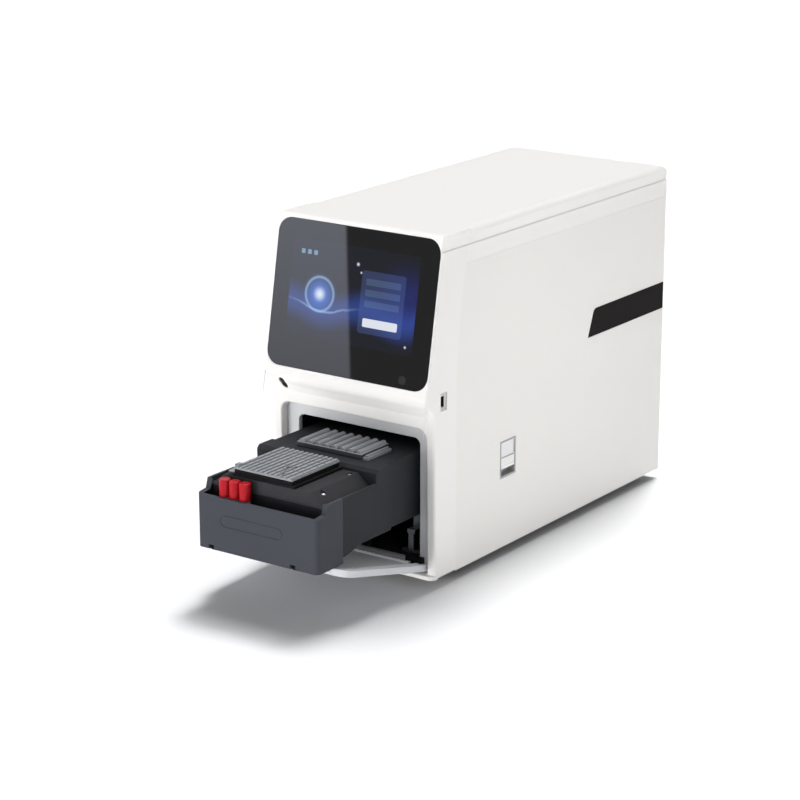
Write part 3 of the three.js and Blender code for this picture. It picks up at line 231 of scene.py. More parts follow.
def block(low: Point3, high: Point3, datum: Datum = CASE) -> Object:
    """A box between two corners.

    Args:
        low: The corner with the lowest coordinates.
        high: The corner with the highest coordinates.
        datum: The group that the corners belong to.

    Returns:
        The new object.
    """
    bpy.ops.object.select_all(action="DESELECT")
    first = datum.metres(low)
    last = datum.metres(high)
    bpy.ops.mesh.primitive_cube_add(size=1, location=(first + last) / 2, scale=last - first)
    return settle(bpy.context.object)


def pair(low: Point3, high: Point3, datum: Datum = CASE) -> list[Object]:
    """A box and its mirror image across x = 0, the mirrored one first."""
    mirrored = block((-high[0], low[1], low[2]), (-low[0], high[1], high[2]), datum)
    return [mirrored, block(low, high, datum)]


def rod(
    axis: Axis,
    radius: float,
    start: float,
    end: float,
    centre: Point,
    datum: Datum = CASE,
    sides: int = 32,
) -> Object:
    """A round bar along an axis.

    Args:
        axis: The axis it follows.
        radius: Its radius.
        start: Where it starts along the axis.
        end: Where it ends along the axis.
        centre: Its centre on the other two axes, in X, Y, Z order.
        datum: The group that the numbers belong to.
        sides: The number of its sides.

    Returns:
        The new object.
    """
    bpy.ops.object.select_all(action="DESELECT")
    bpy.ops.mesh.primitive_cylinder_add(
        vertices=sides,
        radius=radius * MM,
        depth=abs(end - start) * MM,
        location=datum.metres(axis.point((start + end) / 2, centre)),
        rotation=Vector((0, 0, 1)).rotation_difference(axis.unit).to_euler(),
    )
    return settle(bpy.context.object)


def trace(points: Sequence[Vector]) -> Object:
    """A chain of edges through some points, left in edit mode with all of it selected.

    Args:
        points: The points in metres.

    Returns:
        The new object.
    """
    bpy.ops.object.select_all(action="DESELECT")
    bpy.ops.mesh.primitive_plane_add(size=MM, location=points[0])
    piece = bpy.context.object
    bpy.ops.object.mode_set(mode="EDIT")
    bpy.ops.mesh.select_all(action="SELECT")
    bpy.ops.mesh.merge(type="CENTER")
    for here, there in pairwise(points):
        bpy.ops.mesh.extrude_region_move(TRANSFORM_OT_translate={"value": there - here})
    bpy.ops.mesh.select_all(action="SELECT")
    return piece


def slab(
    axis: Axis, outline: Sequence[Point], start: float, end: float, datum: Datum = CASE
) -> Object:
    """A flat outline drawn across an axis and extruded along it.

    Args:
        axis: The axis that the slab is extruded along.
        outline: The outline's points on the other two axes, in X, Y, Z order.
        start: Where the slab starts along the axis.
        end: Where it ends.
        datum: The group that the numbers belong to.

    Returns:
        The new object.
    """
    points = [datum.metres(axis.point(start, point)) for point in outline]
    kept = [points[0]]
    for point in points[1:]:
        if (point - kept[-1]).length > MM / 100 and (point - kept[0]).length > MM / 100:
            kept.append(point)
    piece = trace(kept)
    bpy.ops.mesh.edge_face_add()
    bpy.ops.mesh.extrude_region_move(
        TRANSFORM_OT_translate={"value": axis.unit * (end - start) * MM}
    )
    bpy.ops.mesh.select_all(action="SELECT")
    bpy.ops.mesh.normals_make_consistent(inside=False)
    bpy.ops.object.mode_set(mode="OBJECT")
    return settle(piece)


def turned(
    axis: Axis, profile: Sequence[Point], centre: Point, datum: Datum = CASE, sides: int = 32
) -> Object:
    """A profile spun round an axis.

    Args:
        axis: The axis that it is spun round.
        profile: Its points, each a radius and a place along the axis.
        centre: The axis's place on the other two, in X, Y, Z order.
        datum: The group that the numbers belong to.
        sides: The number of steps in a turn.

    Returns:
        The new object.
    """
    across = (axis.value + 1) % 3 if axis is not Axis.Y else 0
    points = []
    for radius, along in profile:
        point = list(axis.point(along, centre))
        point[across] += radius
        points.append(datum.metres((point[0], point[1], point[2])))
    piece = trace(points)
    bpy.ops.mesh.spin(
        steps=sides,
        angle=math.tau,
        center=datum.metres(axis.point(profile[0][1], centre)),
        axis=axis.unit,
    )
    bpy.ops.mesh.select_all(action="SELECT")
    bpy.ops.mesh.remove_doubles(threshold=MM / 100)
    bpy.ops.mesh.normals_make_consistent(inside=False)
    bpy.ops.object.mode_set(mode="OBJECT")
    return settle(piece)


def placed(
    piece: Object, place: Point3, turn: float, axis: Axis = Axis.X, datum: Datum = CASE
) -> Object:
    """Turns a piece that is drawn about the origin, and moves it to its place.

    Args:
        piece: The piece.
        place: Where its origin goes.
        turn: The angle in degrees.
        axis: The axis that it is turned about.
        datum: The group that the place belongs to.

    Returns:
        The piece.
    """
    only(piece)
    spin = Matrix.Rotation(math.radians(turn), 4, axis.name)
    piece.matrix_world = Matrix.Translation(datum.metres(place)) @ spin
    return settle(piece)


def combine(base: Object, tools: Sequence[Object], way: str) -> Object:
    """Cuts or joins tools into a base with an applied Boolean each, and removes the tools.

    Args:
        base: The piece that is changed.
        tools: The pieces that are used up.
        way: DIFFERENCE, UNION or INTERSECT.

    Returns:
        The base.
    """
    for tool in tools:
        only(base)
        step = base.modifiers.new(way.lower(), "BOOLEAN")
        step.operation = way
        step.solver = "EXACT"
        step.object = tool
        bpy.ops.object.modifier_apply(modifier=step.name)
        bpy.data.objects.remove(tool)
    return base


def cut(base: Object, *tools: Object) -> Object:
    """Takes tools out of a base, and returns it."""
    return combine(base, tools, "DIFFERENCE")


def join(base: Object, *tools: Object) -> Object:
    """Adds tools to a base, and returns it."""
    return combine(base, tools, "UNION")


def bundle(*pieces: Object) -> Object:
    """Makes one object of pieces that only touch, and returns it."""
    bpy.ops.object.select_all(action="DESELECT")
    for piece in pieces:
        piece.select_set(True)
    bpy.context.view_layer.objects.active = pieces[0]
    bpy.ops.object.join()
    return pieces[0]


def round_edges(piece: Object, radius: float, segments: int = 3, over: float = 32) -> Object:
    """Rounds the edges that turn by more than an angle.

    Args:
        piece: The piece.
        radius: The width of the rounding in millimetres.
        segments: The number of faces across it.
        over: The least angle of an edge that is rounded, in degrees.

    Returns:
        The piece.
    """
    only(piece)
    step = piece.modifiers.new("round", "BEVEL")
    step.width = radius * MM
    step.segments = segments
    step.limit_method = "ANGLE"
    step.angle_limit = math.radians(over)
    step.use_clamp_overlap = True
    bpy.ops.object.modifier_apply(modifier=step.name)
    return piece


def round_by(
    piece: Object, radius: float, share: Callable[[Vector, Vector], float], segments: int = 4
) -> Object:
    """Rounds each edge by its own share of a radius.

    Args:
        piece: The piece.
        radius: The full width of the rounding in millimetres.
        share: Gives an edge's share from its two ends, in millimetres in the case's own frame.
        segments: The number of faces across it.

    Returns:
        The piece.
    """
    only(piece)
    mesh = piece.data
    start = CASE.metres((0, 0, 0))
    weights = mesh.attributes.new("bevel_weight_edge", "FLOAT", "EDGE")
    for edge, weight in zip(mesh.edges, weights.data):
        ends = [(mesh.vertices[index].co - start) / MM for index in edge.vertices]
        weight.value = share(ends[0], ends[1])
    step = piece.modifiers.new("round", "BEVEL")
    step.width = radius * MM
    step.segments = segments
    step.limit_method = "WEIGHT"
    step.use_clamp_overlap = False
    bpy.ops.object.modifier_apply(modifier=step.name)
    spent = mesh.attributes.get("bevel_weight_edge")
    if spent:
        mesh.attributes.remove(spent)
    return piece


def shade(piece: Object, over: float = 42) -> Object:
    """Shades a piece smooth up to an angle and keeps its flats flat, and returns it."""
    only(piece)
    bpy.ops.object.shade_smooth_by_angle(angle=math.radians(over))
    step = piece.modifiers.new("flats", "WEIGHTED_NORMAL")
    step.keep_sharp = True
    step.weight = 100
    bpy.ops.object.modifier_apply(modifier=step.name)
    return piece


def soften(piece: Object, radius: float, segments: int = 3, over: float = 32) -> Object:
    """Rounds a piece's edges and shades it, and returns it."""
    return shade(round_edges(piece, radius, segments, over))


@dataclass(frozen=True)
class ScrewHead:
    """The sizes of a pan-head screw with a cross slot."""

    radius: float
    rim: float
    dome: float
    crown: float
    slot_floor: float
    slot_half: float
    sides: int
    edge: float
    segments: int
    slot_reach: float = 2.0
    dome_inset: float = 0.6

    def model(self, axis: Axis, place: Point, foot: float, datum: Datum = CASE) -> Object:
        """Models one screw.

        Args:
            axis: The axis that it points along.
            place: Its centre on the other two axes, in X, Y, Z order.
            foot: Where its head starts along the axis.
            datum: The group that the numbers belong to.

        Returns:
            The new object.
        """
        rim = (self.radius, foot + self.rim)
        pull = (self.radius - self.dome_inset, foot + self.dome)
        dome = curve(rim, pull, (0.0, foot + self.crown), 5)
        profile = [(0.0, foot), (self.radius, foot), rim, *dome]
        head = turned(axis, profile, place, datum, self.sides)
        slots = []
        for x, y in ((self.slot_reach, self.slot_half), (self.slot_half, self.slot_reach)):
            low = axis.point(foot + self.slot_floor, (place[0] - x, place[1] - y))
            high = axis.point(foot + self.slot_reach * 2, (place[0] + x, place[1] + y))
            slots.append(block(low, high, datum))
        return soften(cut(head, *slots), self.edge, self.segments)


DECK_SCREW = ScrewHead(
    radius=3.2,
    rim=1.4,
    dome=2.6,
    crown=2.9,
    slot_floor=1.9,
    slot_half=0.35,
    sides=28,
    edge=0.15,
    segments=2,
)
REAR_SCREW = ScrewHead(
    radius=3.4,
    rim=0.8,
    dome=1.9,
    crown=2.1,
    slot_floor=1.1,
    slot_half=0.4,
    sides=24,
    edge=0.12,
    segments=1,
)


# Shader graphs


@dataclass
class Wire:
    """An output socket that takes part in sums as a number does."""

    graph: "Graph"
    socket: bpy.types.NodeSocket

    def __add__(self, other: "Wire | float") -> "Wire":
        return self.graph.sum("ADD", self, other)

    def __radd__(self, other: float) -> "Wire":
        return self.graph.sum("ADD", other, self)

    def __sub__(self, other: "Wire | float") -> "Wire":
        return self.graph.sum("SUBTRACT", self, other)

    def __rsub__(self, other: float) -> "Wire":
        return self.graph.sum("SUBTRACT", other, self)

    def __mul__(self, other: "Wire | float") -> "Wire":
        return self.graph.sum("MULTIPLY", self, other)

    def __rmul__(self, other: float) -> "Wire":
        return self.graph.sum("MULTIPLY", other, self)

    def __abs__(self) -> "Wire":
        return self.graph.sum("ABSOLUTE", self)


Socketed = Wire | float | int | tuple | None


class Graph:
    """The nodes of one material or of the world."""

    def __init__(self, owner: Material | bpy.types.World) -> None:
        """Starts an empty graph on a material or world."""
        owner.use_nodes = True
        self.tree = owner.node_tree
        self.tree.nodes.clear()

    def node(
        self,
        kind: str,
        settings: dict[str, Any] | None = None,
        out: str | int = 0,
        **inputs: Socketed,
    ) -> Wire:
        """Adds any node.

        Args:
            kind: The node's type after ShaderNode.
            settings: Its settings, set before its sockets; a ramp's are under "stops".
            out: The output that is wanted.
            inputs: Values or links of its sockets; a name's underscores stand for spaces, and
                i0, i1 and so on are sockets by number.

        Returns:
            The wanted output.
        """
        made = self.tree.nodes.new(f"ShaderNode{kind}")
        for name, value in (settings or {}).items():
            if name == "stops":
                self.fill_ramp(made.color_ramp, value)
            else:
                setattr(made, name, value)
        for name, value in inputs.items():
            key = int(name[1:]) if name[0] == "i" and name[1:].isdigit() else name.replace("_", " ")
            self.feed(made.inputs[key], value)
        return Wire(self, made.outputs[out])

    def feed(self, socket: bpy.types.NodeSocket, value: Socketed) -> None:
        """Sets a socket to a value or links it."""
        if isinstance(value, Wire):
            self.tree.links.new(value.socket, socket)
        elif value is not None:
            socket.default_value = value

    def fill_ramp(self, ramp: bpy.types.ColorRamp, stops: Sequence[tuple[float, Colour]]) -> None:
        """Gives a ramp its stops."""
        while len(ramp.elements) < len(stops):
            ramp.elements.new(1)
        for element, (place, colour) in zip(ramp.elements, stops):
            element.position = place
            element.color = colour

    def sum(self, operation: str, *values: Socketed) -> Wire:
        """Adds a Math node."""
        inputs = {f"i{i}": value for i, value in enumerate(values)}
        return self.node("Math", {"operation": operation}, **inputs)

    def clamp(self, value: Wire) -> Wire:
        """Keeps a value between 0 and 1."""
        return self.node("Clamp", Value=value)

    def step(self, value: Wire, start: float, end: float) -> Wire:
        """A smooth step from 0 at start to 1 at end."""
        settings = {"interpolation_type": "SMOOTHSTEP"}
        return self.node("MapRange", settings, Value=value, From_Min=start, From_Max=end)

    def mix(self, factor: Socketed, first: Socketed, second: Socketed) -> Wire:
        """Mixes two colours."""
        return self.node("Mix", {"data_type": "RGBA"}, out=2, i0=factor, i6=first, i7=second)

    def places(self) -> Wire:
        """The surface's own coordinates in metres."""
        return self.node("TexCoord", out="Object")

    def split(self, vector: Wire) -> tuple[Wire, Wire, Wire]:
        """A vector's three coordinates."""
        parts = self.node("SeparateXYZ", Vector=vector)
        outputs = parts.socket.node.outputs
        return (Wire(self, outputs[0]), Wire(self, outputs[1]), Wire(self, outputs[2]))

    def noise(self, scale: float, detail: float = 2, roughness: float = 0.5) -> Wire:
        """A noise over the surface with a scale in features per metre."""
        return self.node(
            "TexNoise", Vector=self.places(), Scale=scale, Detail=detail, Roughness=roughness
        )

    def bump(self, height: Wire, distance: float) -> Wire:
        """A bump from a height, with its depth in metres."""
        return self.node("Bump", Height=height, Distance=distance, Strength=1.0)

    def surface(self, shader: Wire) -> None:
        """Links a shader to the material's output."""
        out = self.tree.nodes.new("ShaderNodeOutputMaterial")
        self.tree.links.new(shader.socket, out.inputs["Surface"])


def srgb(red: int, green: int, blue: int) -> Colour:
    """A colour from screen values of 0 to 255."""

    def linear(value: int) -> float:
        share = value / 255
        return share / 12.92 if share <= 0.04045 else ((share + 0.055) / 1.055) ** 2.4

    return (linear(red), linear(green), linear(blue), 1.0)


def shifted(colour: Colour, share: float) -> Colour:
    """A colour made lighter or darker by a share."""
    return (
        min(1.0, colour[0] * (1 + share)),
        min(1.0, colour[1] * (1 + share)),
        min(1.0, colour[2] * (1 + share)),
        1.0,
    )


# Finishes


@dataclass(frozen=True)
class Finish:
    """A finish with a grain: the base of all the plain ones."""

    name: str
    colour: Colour
    roughness: float = 0.5
    metallic: float = 0.0
    mottle: float = 0.02
    mottle_scale: float = 14.0
    grain_scale: float = 1600.0
    grain_depth: float = 0.00003
    rough_play: float = 0.06
    coat: float = 0.0
    specular: float = 0.5

    def shader(self, graph: Graph) -> Wire:
        """Builds the shader.

        Args:
            graph: The material's graph.

        Returns:
            The shader's output.
        """
        fine = graph.noise(self.grain_scale, 2, 0.6)
        return graph.node(
            "BsdfPrincipled",
            Base_Color=self.tone(graph),
            Metallic=self.metallic,
            Roughness=self.roughness + (fine - 0.5) * self.rough_play * 2,
            Coat_Weight=self.coat,
            Specular_IOR_Level=self.specular,
            Normal=graph.bump(fine, self.grain_depth),
        )

    def tone(self, graph: Graph) -> Wire:
        """The finish's colour with its faint clouds."""
        cloud = graph.noise(self.mottle_scale, 3)
        low = shifted(self.colour, -self.mottle)
        high = shifted(self.colour, self.mottle)
        return graph.mix(cloud, low, high)

    def material(self) -> Material:
        """The finish as a new material."""
        made = bpy.data.materials.new(self.name)
        graph = Graph(made)
        graph.surface(self.shader(graph))
        return made


@dataclass(frozen=True)
class RecessedFinish(Finish):
    """A finish with another colour inside one box, given in a group's own millimetres. In the
    moulding's recess, the drawer's trough and the rack's grooves the colour inside the box is
    painted shade; on the latch the colour outside it is painted shade.
    """

    low: Point3 = (0.0, 0.0, 0.0)
    high: Point3 = (0.0, 0.0, 0.0)
    datum: Datum = CASE
    inside: Colour = (0.0, 0.0, 0.0, 1.0)
    blend: float = 0.0005

    def tone(self, graph: Graph) -> Wire:
        """The finish's colour outside the box and the other one in it."""
        mask: Wire | float = 1.0
        corners = (self.datum.metres(self.low), self.datum.metres(self.high))
        for wire, start, end in zip(graph.split(graph.places()), *corners):
            mask = graph.step(wire, start - self.blend, start + self.blend) * mask
            mask = graph.step(wire, end + self.blend, end - self.blend) * mask
        return graph.mix(mask, super().tone(graph), self.inside)


@dataclass(frozen=True)
class Brushed(Finish):
    """A metal with fine marks drawn along one axis."""

    along: Axis = Axis.Y
    stretch: float = 30.0

    def shader(self, graph: Graph) -> Wire:
        """Builds the shader on a noise that is drawn out along the axis."""
        scale = [self.grain_scale] * 3
        scale[self.along.value] = self.grain_scale / self.stretch
        drawn = graph.node("Mapping", Vector=graph.places(), Scale=tuple(scale))
        marks = graph.node("TexNoise", Vector=drawn, Scale=1.0, Detail=3.0)
        low = shifted(self.colour, -self.mottle)
        return graph.node(
            "BsdfPrincipled",
            Base_Color=graph.mix(marks, low, self.colour),
            Metallic=self.metallic,
            Roughness=self.roughness + (marks - 0.5) * self.rough_play * 2,
            Normal=graph.bump(marks, self.grain_depth),
        )


@dataclass(frozen=True)
class ClearPlastic(Finish):
    """A clear tube with a slight cloudiness."""

    def shader(self, graph: Graph) -> Wire:
        """Builds a shell that lets most light through and catches it at its rims."""
        fine = graph.noise(self.grain_scale, 2)
        rim = graph.node("LayerWeight", Blend=0.35, out="Facing")
        return graph.node(
            "BsdfPrincipled",
            Base_Color=self.colour,
            Roughness=self.roughness + fine * self.rough_play,
            Alpha=graph.clamp(0.22 + rim * 0.6),
            IOR=1.5,
            Normal=graph.bump(fine, self.grain_depth),
        )


@dataclass(frozen=True)
class CircuitBoard(Finish):
    """A circuit board with copper lines under its green mask."""

    track_scale: float = 260.0

    def shader(self, graph: Graph) -> Wire:
        """Builds the mask, its lines and its pads."""
        cells = graph.node(
            "TexVoronoi", {"distance": "CHEBYCHEV"}, Vector=graph.places(), Scale=self.track_scale
        )
        lines = graph.step(cells, 0.42, 0.46)
        pads = graph.step(cells, 0.1, 0.07)
        green = graph.mix(lines, self.colour, shifted(self.colour, 0.5))
        return graph.node(
            "BsdfPrincipled",
            Base_Color=graph.mix(pads, green, srgb(200, 190, 150)),
            Metallic=pads * 0.9,
            Roughness=0.42 - pads * 0.12,
            Normal=graph.bump(lines, self.grain_depth),
        )


@dataclass(frozen=True)
class Sketch:
    """The flat coordinates of the screen, in metres, and the shapes drawn on them."""

    graph: Graph
    across: Wire
    up: Wire

    def plate(self, centre: Point, half: Point, corner: float, edge: float = 0.25) -> Wire:
        """A filled rectangle with round corners.

        Args:
            centre: Its centre in millimetres.
            half: Half its width and height.
            corner: The radius of its corners.
            edge: The softness of its edge.

        Returns:
            A mask, 1 inside.
        """
        sides = []
        for wire, middle, reach in zip((self.across, self.up), centre, half):
            past = abs(wire - middle * MM) - (reach - corner) * MM
            sides.append(self.graph.sum("MAXIMUM", past, 0.0))
        distance = self.graph.sum("SQRT", sides[0] * sides[0] + sides[1] * sides[1])
        return self.graph.step(distance, (corner + edge) * MM, (corner - edge) * MM)

    def distance(self, centre: Point, squeeze: float = 1.0) -> Wire:
        """The distance from a point, with the height squeezed by a share."""
        along = self.across - centre[0] * MM
        rise = (self.up - centre[1] * MM) * squeeze
        return self.graph.sum("SQRT", along * along + rise * rise)

    def glow(self, centre: Point, reach: float, squeeze: float = 1.0) -> Wire:
        """A soft light round a point that is gone at its reach."""
        return self.graph.step(self.distance(centre, squeeze), reach * MM, 0.0)

    def ring(self, centre: Point, radius: float, width: float) -> Wire:
        """A ring with soft edges."""
        off = abs(self.distance(centre) - radius * MM)
        return self.graph.step(off, width * MM, width * MM / 3)


@dataclass(frozen=True)
class ScreenGlass(Finish):
    """Black glass with a lit picture behind part of it."""

    tilt: float = 10.3
    middle_y: float = -7.58
    middle_z: float = 349.7
    picture_centre: Point = (-1.0, 9.0)
    picture_half: Point = (100.0, 63.0)
    button_place: Point = (89.0, -85.6)
    button_tone: float = 0.045

    def sketch(self, graph: Graph) -> Sketch:
        """The screen's own flat coordinates."""
        x, y, z = graph.split(graph.places())
        middle = CASE.metres((0, self.middle_y, self.middle_z))
        turn = math.radians(self.tilt)
        up = (z - middle.z) * math.cos(turn) + (y - middle.y) * math.sin(turn)
        return Sketch(graph, x, up)

    def picture(self, graph: Graph, flat: Sketch) -> Wire:
        """The lit picture: a start page of plain shapes on a deep blue ground."""
        cloud = graph.noise(30, 4, 0.6)
        night = srgb(9, 11, 26)
        deep = srgb(26, 38, 116)
        pale = srgb(170, 214, 255)
        ring = (-52, 4)
        tide = graph.sum("SINE", flat.across * 52 + cloud * 1.4) * 0.006
        wave = graph.step(abs(flat.up - tide + 0.012), 0.03, 0.0)
        base = graph.mix(flat.glow((84, 8), 62) * (0.35 + cloud * 0.9), night, deep)
        base = graph.mix(wave * 0.32, base, srgb(64, 104, 220))
        crest = graph.step(abs(flat.up - tide + 0.012), 0.0022, 0.0004)
        base = graph.mix(crest * 0.5 * flat.glow((-46, -6), 70), base, pale)
        base = graph.mix(flat.glow(ring, 30) * 0.8, base, srgb(72, 132, 240))
        base = graph.mix(flat.ring(ring, 22, 2.6) * 0.4, base, pale)
        base = graph.mix(flat.glow(ring, 12) * 0.9, base, srgb(240, 250, 255))
        base = graph.mix(flat.plate((46, 4), (34, 40), 4) * 0.12, base, srgb(120, 150, 235))
        for rise in (30, 16, 2):
            base = graph.mix(flat.plate((46, rise), (27, 4.2), 1.5) * 0.08, base, pale)
        for place, reach in (((4, 50), 3.4), ((10, 40), 2.2), ((88, -44), 2.6)):
            base = graph.mix(flat.glow(place, reach), base, srgb(232, 244, 255))
        base = graph.mix(flat.plate((46, -22), (27, 5.5), 2), base, srgb(236, 240, 250))
        for place in (-84, -74, -64):
            base = graph.mix(flat.plate((place, 56), (3, 3), 1.4) * 0.45, base, pale)
        return base

    def shader(self, graph: Graph) -> Wire:
        """Builds the glass with its picture."""
        flat = self.sketch(graph)
        window = flat.plate(self.picture_centre, self.picture_half, 1.0)
        reach = flat.distance(self.button_place)
        touch = graph.step(reach, 6.2 * MM, 5.0 * MM) * self.button_tone
        button = graph.mix(touch, srgb(0, 0, 0), srgb(190, 195, 205))
        glow = graph.mix(window, button, self.picture(graph, flat))
        smear = graph.noise(9, 3)
        return graph.node(
            "BsdfPrincipled",
            Base_Color=self.colour,
            Roughness=self.roughness + smear * self.rough_play,
            IOR=1.52,
            Emission_Color=glow,
            Emission_Strength=0.85,
        )


class Finishes:
    """The finishes of the instrument, one material each."""

    def __init__(self) -> None:
        """Makes every material once."""
        white = srgb(244, 242, 239)
        ink = srgb(20, 20, 21)
        moulded = {"roughness": 0.42, "mottle": 0.008, "coat": 0.08}
        dark = {"mottle": 0.03, "grain_scale": 1300}
        self.housing = Finish("housing_white", white, **moulded).material()
        # The grey inside the box is painted shade on the floor of the recess round the bay; the
        # moulding there is the same white.
        self.moulding = RecessedFinish(
            "moulding_white",
            white,
            **moulded,
            low=(-116.4, 4.5, 5.0),
            high=(116.4, 14.0, 201.4),
            inside=srgb(212, 213, 215),
            blend=0.0004,
        ).material()
        self.paint = Finish(
            "cabinet_paint",
            srgb(240, 238, 234),
            0.5,
            mottle=0.008,
            grain_scale=900,
            grain_depth=0.00004,
        ).material()
        self.door = Finish("door_grey", srgb(206, 207, 211), 0.5, mottle=0.015).material()
        # The near-black inside the box is painted shade in the trough behind the front wall; the
        # plastic there is the same charcoal.
        self.charcoal = RecessedFinish(
            "drawer_charcoal",
            srgb(70, 72, 79),
            0.6,
            **dark,
            grain_depth=0.00006,
            specular=0.1,
            low=(-87.5, 3.8, 121.0),
            high=(87.5, 22.6, 139.0),
            datum=DRAWER,
            inside=srgb(34, 34, 37),
            blend=0.0002,
        ).material()
        # The body's charcoal is a darker copy of the drawer's: painted shade on the drawer's sides,
        # which are the same plastic as its front.
        self.hull = Finish("hull_charcoal", srgb(55, 56, 59), 0.6, **dark, specular=0.06).material()
        deck = srgb(62, 62, 65)
        self.shade = Finish("deck_charcoal", deck, 0.65, **dark, specular=0.04).material()
        self.black = Finish("black_plastic", ink, 0.52, mottle=0.05, specular=0.1).material()
        self.label = Finish(
            "label_black", srgb(34, 31, 32), 0.5, mottle=0.02, specular=0.02
        ).material()
        self.glass = ScreenGlass("screen_glass", srgb(8, 8, 10), 0.01, rough_play=0.0).material()
        self.display = Finish("display_panel", srgb(20, 22, 30), 0.3).material()
        self.tray = Finish(
            "tray_grey", srgb(148, 151, 156), 0.42, mottle=0.03, coat=0.1, specular=0.3
        ).material()
        # The darker grey inside the box, all below the strips' crests, is painted shade in the
        # grooves between the strips and on the rack's plate; the crests above it are a lighter grey
        # than the tray's.
        self.ribbed = RecessedFinish(
            "ribbed_grey",
            srgb(162, 165, 170),
            0.42,
            mottle=0.03,
            specular=0.3,
            low=(-50.5, 147.5, 160.0),
            high=(53.5, 208.5, 170.0),
            datum=DRAWER,
            inside=srgb(78, 80, 84),
            blend=0.0003,
        ).material()
        # The grey outside the pane's box is painted shade on the surround's rim and in its well;
        # the surround is the housing's white, which the pane keeps.
        self.latch = RecessedFinish(
            "latch_grey",
            srgb(170, 171, 172),
            0.5,
            mottle=0.01,
            low=(100.0, 147.9, 124.6),
            high=(140.0, 180.1, 145.4),
            inside=srgb(240, 240, 240),
            blend=0.0001,
        ).material()
        self.port = RecessedFinish(
            "port_grey",
            srgb(196, 196, 197),
            0.45,
            mottle=0.01,
            low=(100.0, 5.6, 229.0),
            high=(140.0, 13.3, 243.0),
            inside=ink,
            blend=0.0001,
        ).material()
        self.clear = ClearPlastic("tube_clear", srgb(235, 240, 243), 0.1).material()
        self.cap = Finish(
            "cap_red", srgb(186, 4, 24), 0.34, mottle=0.04, coat=0.06, specular=0.3
        ).material()
        self.steel = Brushed("steel", srgb(190, 192, 196), 0.28, 1.0, grain_scale=1200).material()
        self.zinc = Brushed(
            "zinc_steel", srgb(176, 180, 186), 0.4, 1.0, mottle=0.12, grain_scale=300, stretch=2
        ).material()
        self.aluminium = Brushed(
            "aluminium", srgb(203, 205, 208), 0.34, 1.0, grain_scale=900
        ).material()
        self.circuit = CircuitBoard("circuit_green", srgb(24, 84, 48), 0.4).material()
        self.rubber = Finish("foot_rubber", srgb(34, 34, 35), 0.85, mottle=0.08).material()


# Fitting pieces to the frame


def fit(piece: Object, name: str, body: str, slot: str, material: Material, *nodes: str) -> None:
    """Names a finished piece, gives it its material and seats it on its body.

    Args:
        piece: The finished mesh.
        name: Its name.
        body: The body that it rides on.
        slot: The record's material slot of its finish; not used.
        material: Its material.
        nodes: The frame's nodes that it stands for.
    """
    piece.name = name
    piece.data.name = name
    piece.data.materials.clear()
    piece.data.materials.append(material)
    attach(piece, body)
    if nodes:
        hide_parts(*nodes)
    log.info("%s: %d faces on %s", name, len(piece.data.polygons), body)


def dress(frame: dict[str, Any], material: Material, *nodes: str) -> None:
    """Gives nodes of the frame a material in place of their packed one."""
    for node in nodes:
        for slot in frame["nodes"][node].material_slots:
            slot.link = "OBJECT"
            slot.material = material
        log.info("%s: the frame's own solid", node)


# The instrument's outer shell


@dataclass
class Shell:
    """The sizes that the shell's parts share."""

    half: float = 129.0
    height: float = 450.0
    depth: float = 568.0
    panel_half: float = 128.5
    panel_inner: float = 126.0
    panel_top: float = 406.0
    fascia_depth: float = 41.0
    bend_height: float = 250.0
    lean: float = 30.6
    screen_tilt: float = 10.3
    screen_foot: Point = (-25.7, 250.0)
    cove_top: float = 445.0
    cove_foot: float = 428.5
    cove_depth: float = 1.9
    cove_lip: float = 0.2
    cove_ledge: float = 0.4
    cove_rise: float = 2.0
    cove_bend: float = 1.2
    seam_gap: float = 0.3

    def seam(self, offset: float) -> list[Point]:
        """The joint line behind the fascia, from its bend to the top, in y and z."""
        rise = self.height - self.bend_height
        return curve(
            (self.fascia_depth + offset, self.bend_height),
            (self.fascia_depth + offset + 0.08 * self.lean, self.bend_height + 0.48 * rise),
            (self.fascia_depth + offset + self.lean, self.height),
            14,
        )

    def seam_at(self, offset: float, height: float) -> Point:
        """The joint line's point at a height."""
        for low, high in pairwise(self.seam(offset)):
            if low[1] <= height <= high[1]:
                share = (height - low[1]) / (high[1] - low[1])
                return (low[0] + share * (high[0] - low[0]), height)
        return (self.fascia_depth + offset, height)

    def screen_y(self, z: float) -> float:
        """Where the screen's plane stands at a height."""
        slope = math.tan(math.radians(self.screen_tilt))
        return self.screen_foot[0] + slope * (z - self.screen_foot[1])

    def coves(self, start: float, end: float) -> list[Object]:
        """The two shallow hollows that run along the top's sides, as tools."""
        tools = []
        for side in (-1, 1):
            outside = side * (self.half + OVERRUN)
            top = self.cove_top + self.cove_rise
            section = [
                (outside, top),
                (side * (self.half + self.cove_lip), top),
                (side * (self.half - self.cove_depth), self.cove_foot + self.cove_bend),
                (side * (self.half - self.cove_ledge), self.cove_foot),
                (outside, self.cove_foot),
            ]
            tools.append(slab(Axis.Y, section, start, end))
        return tools


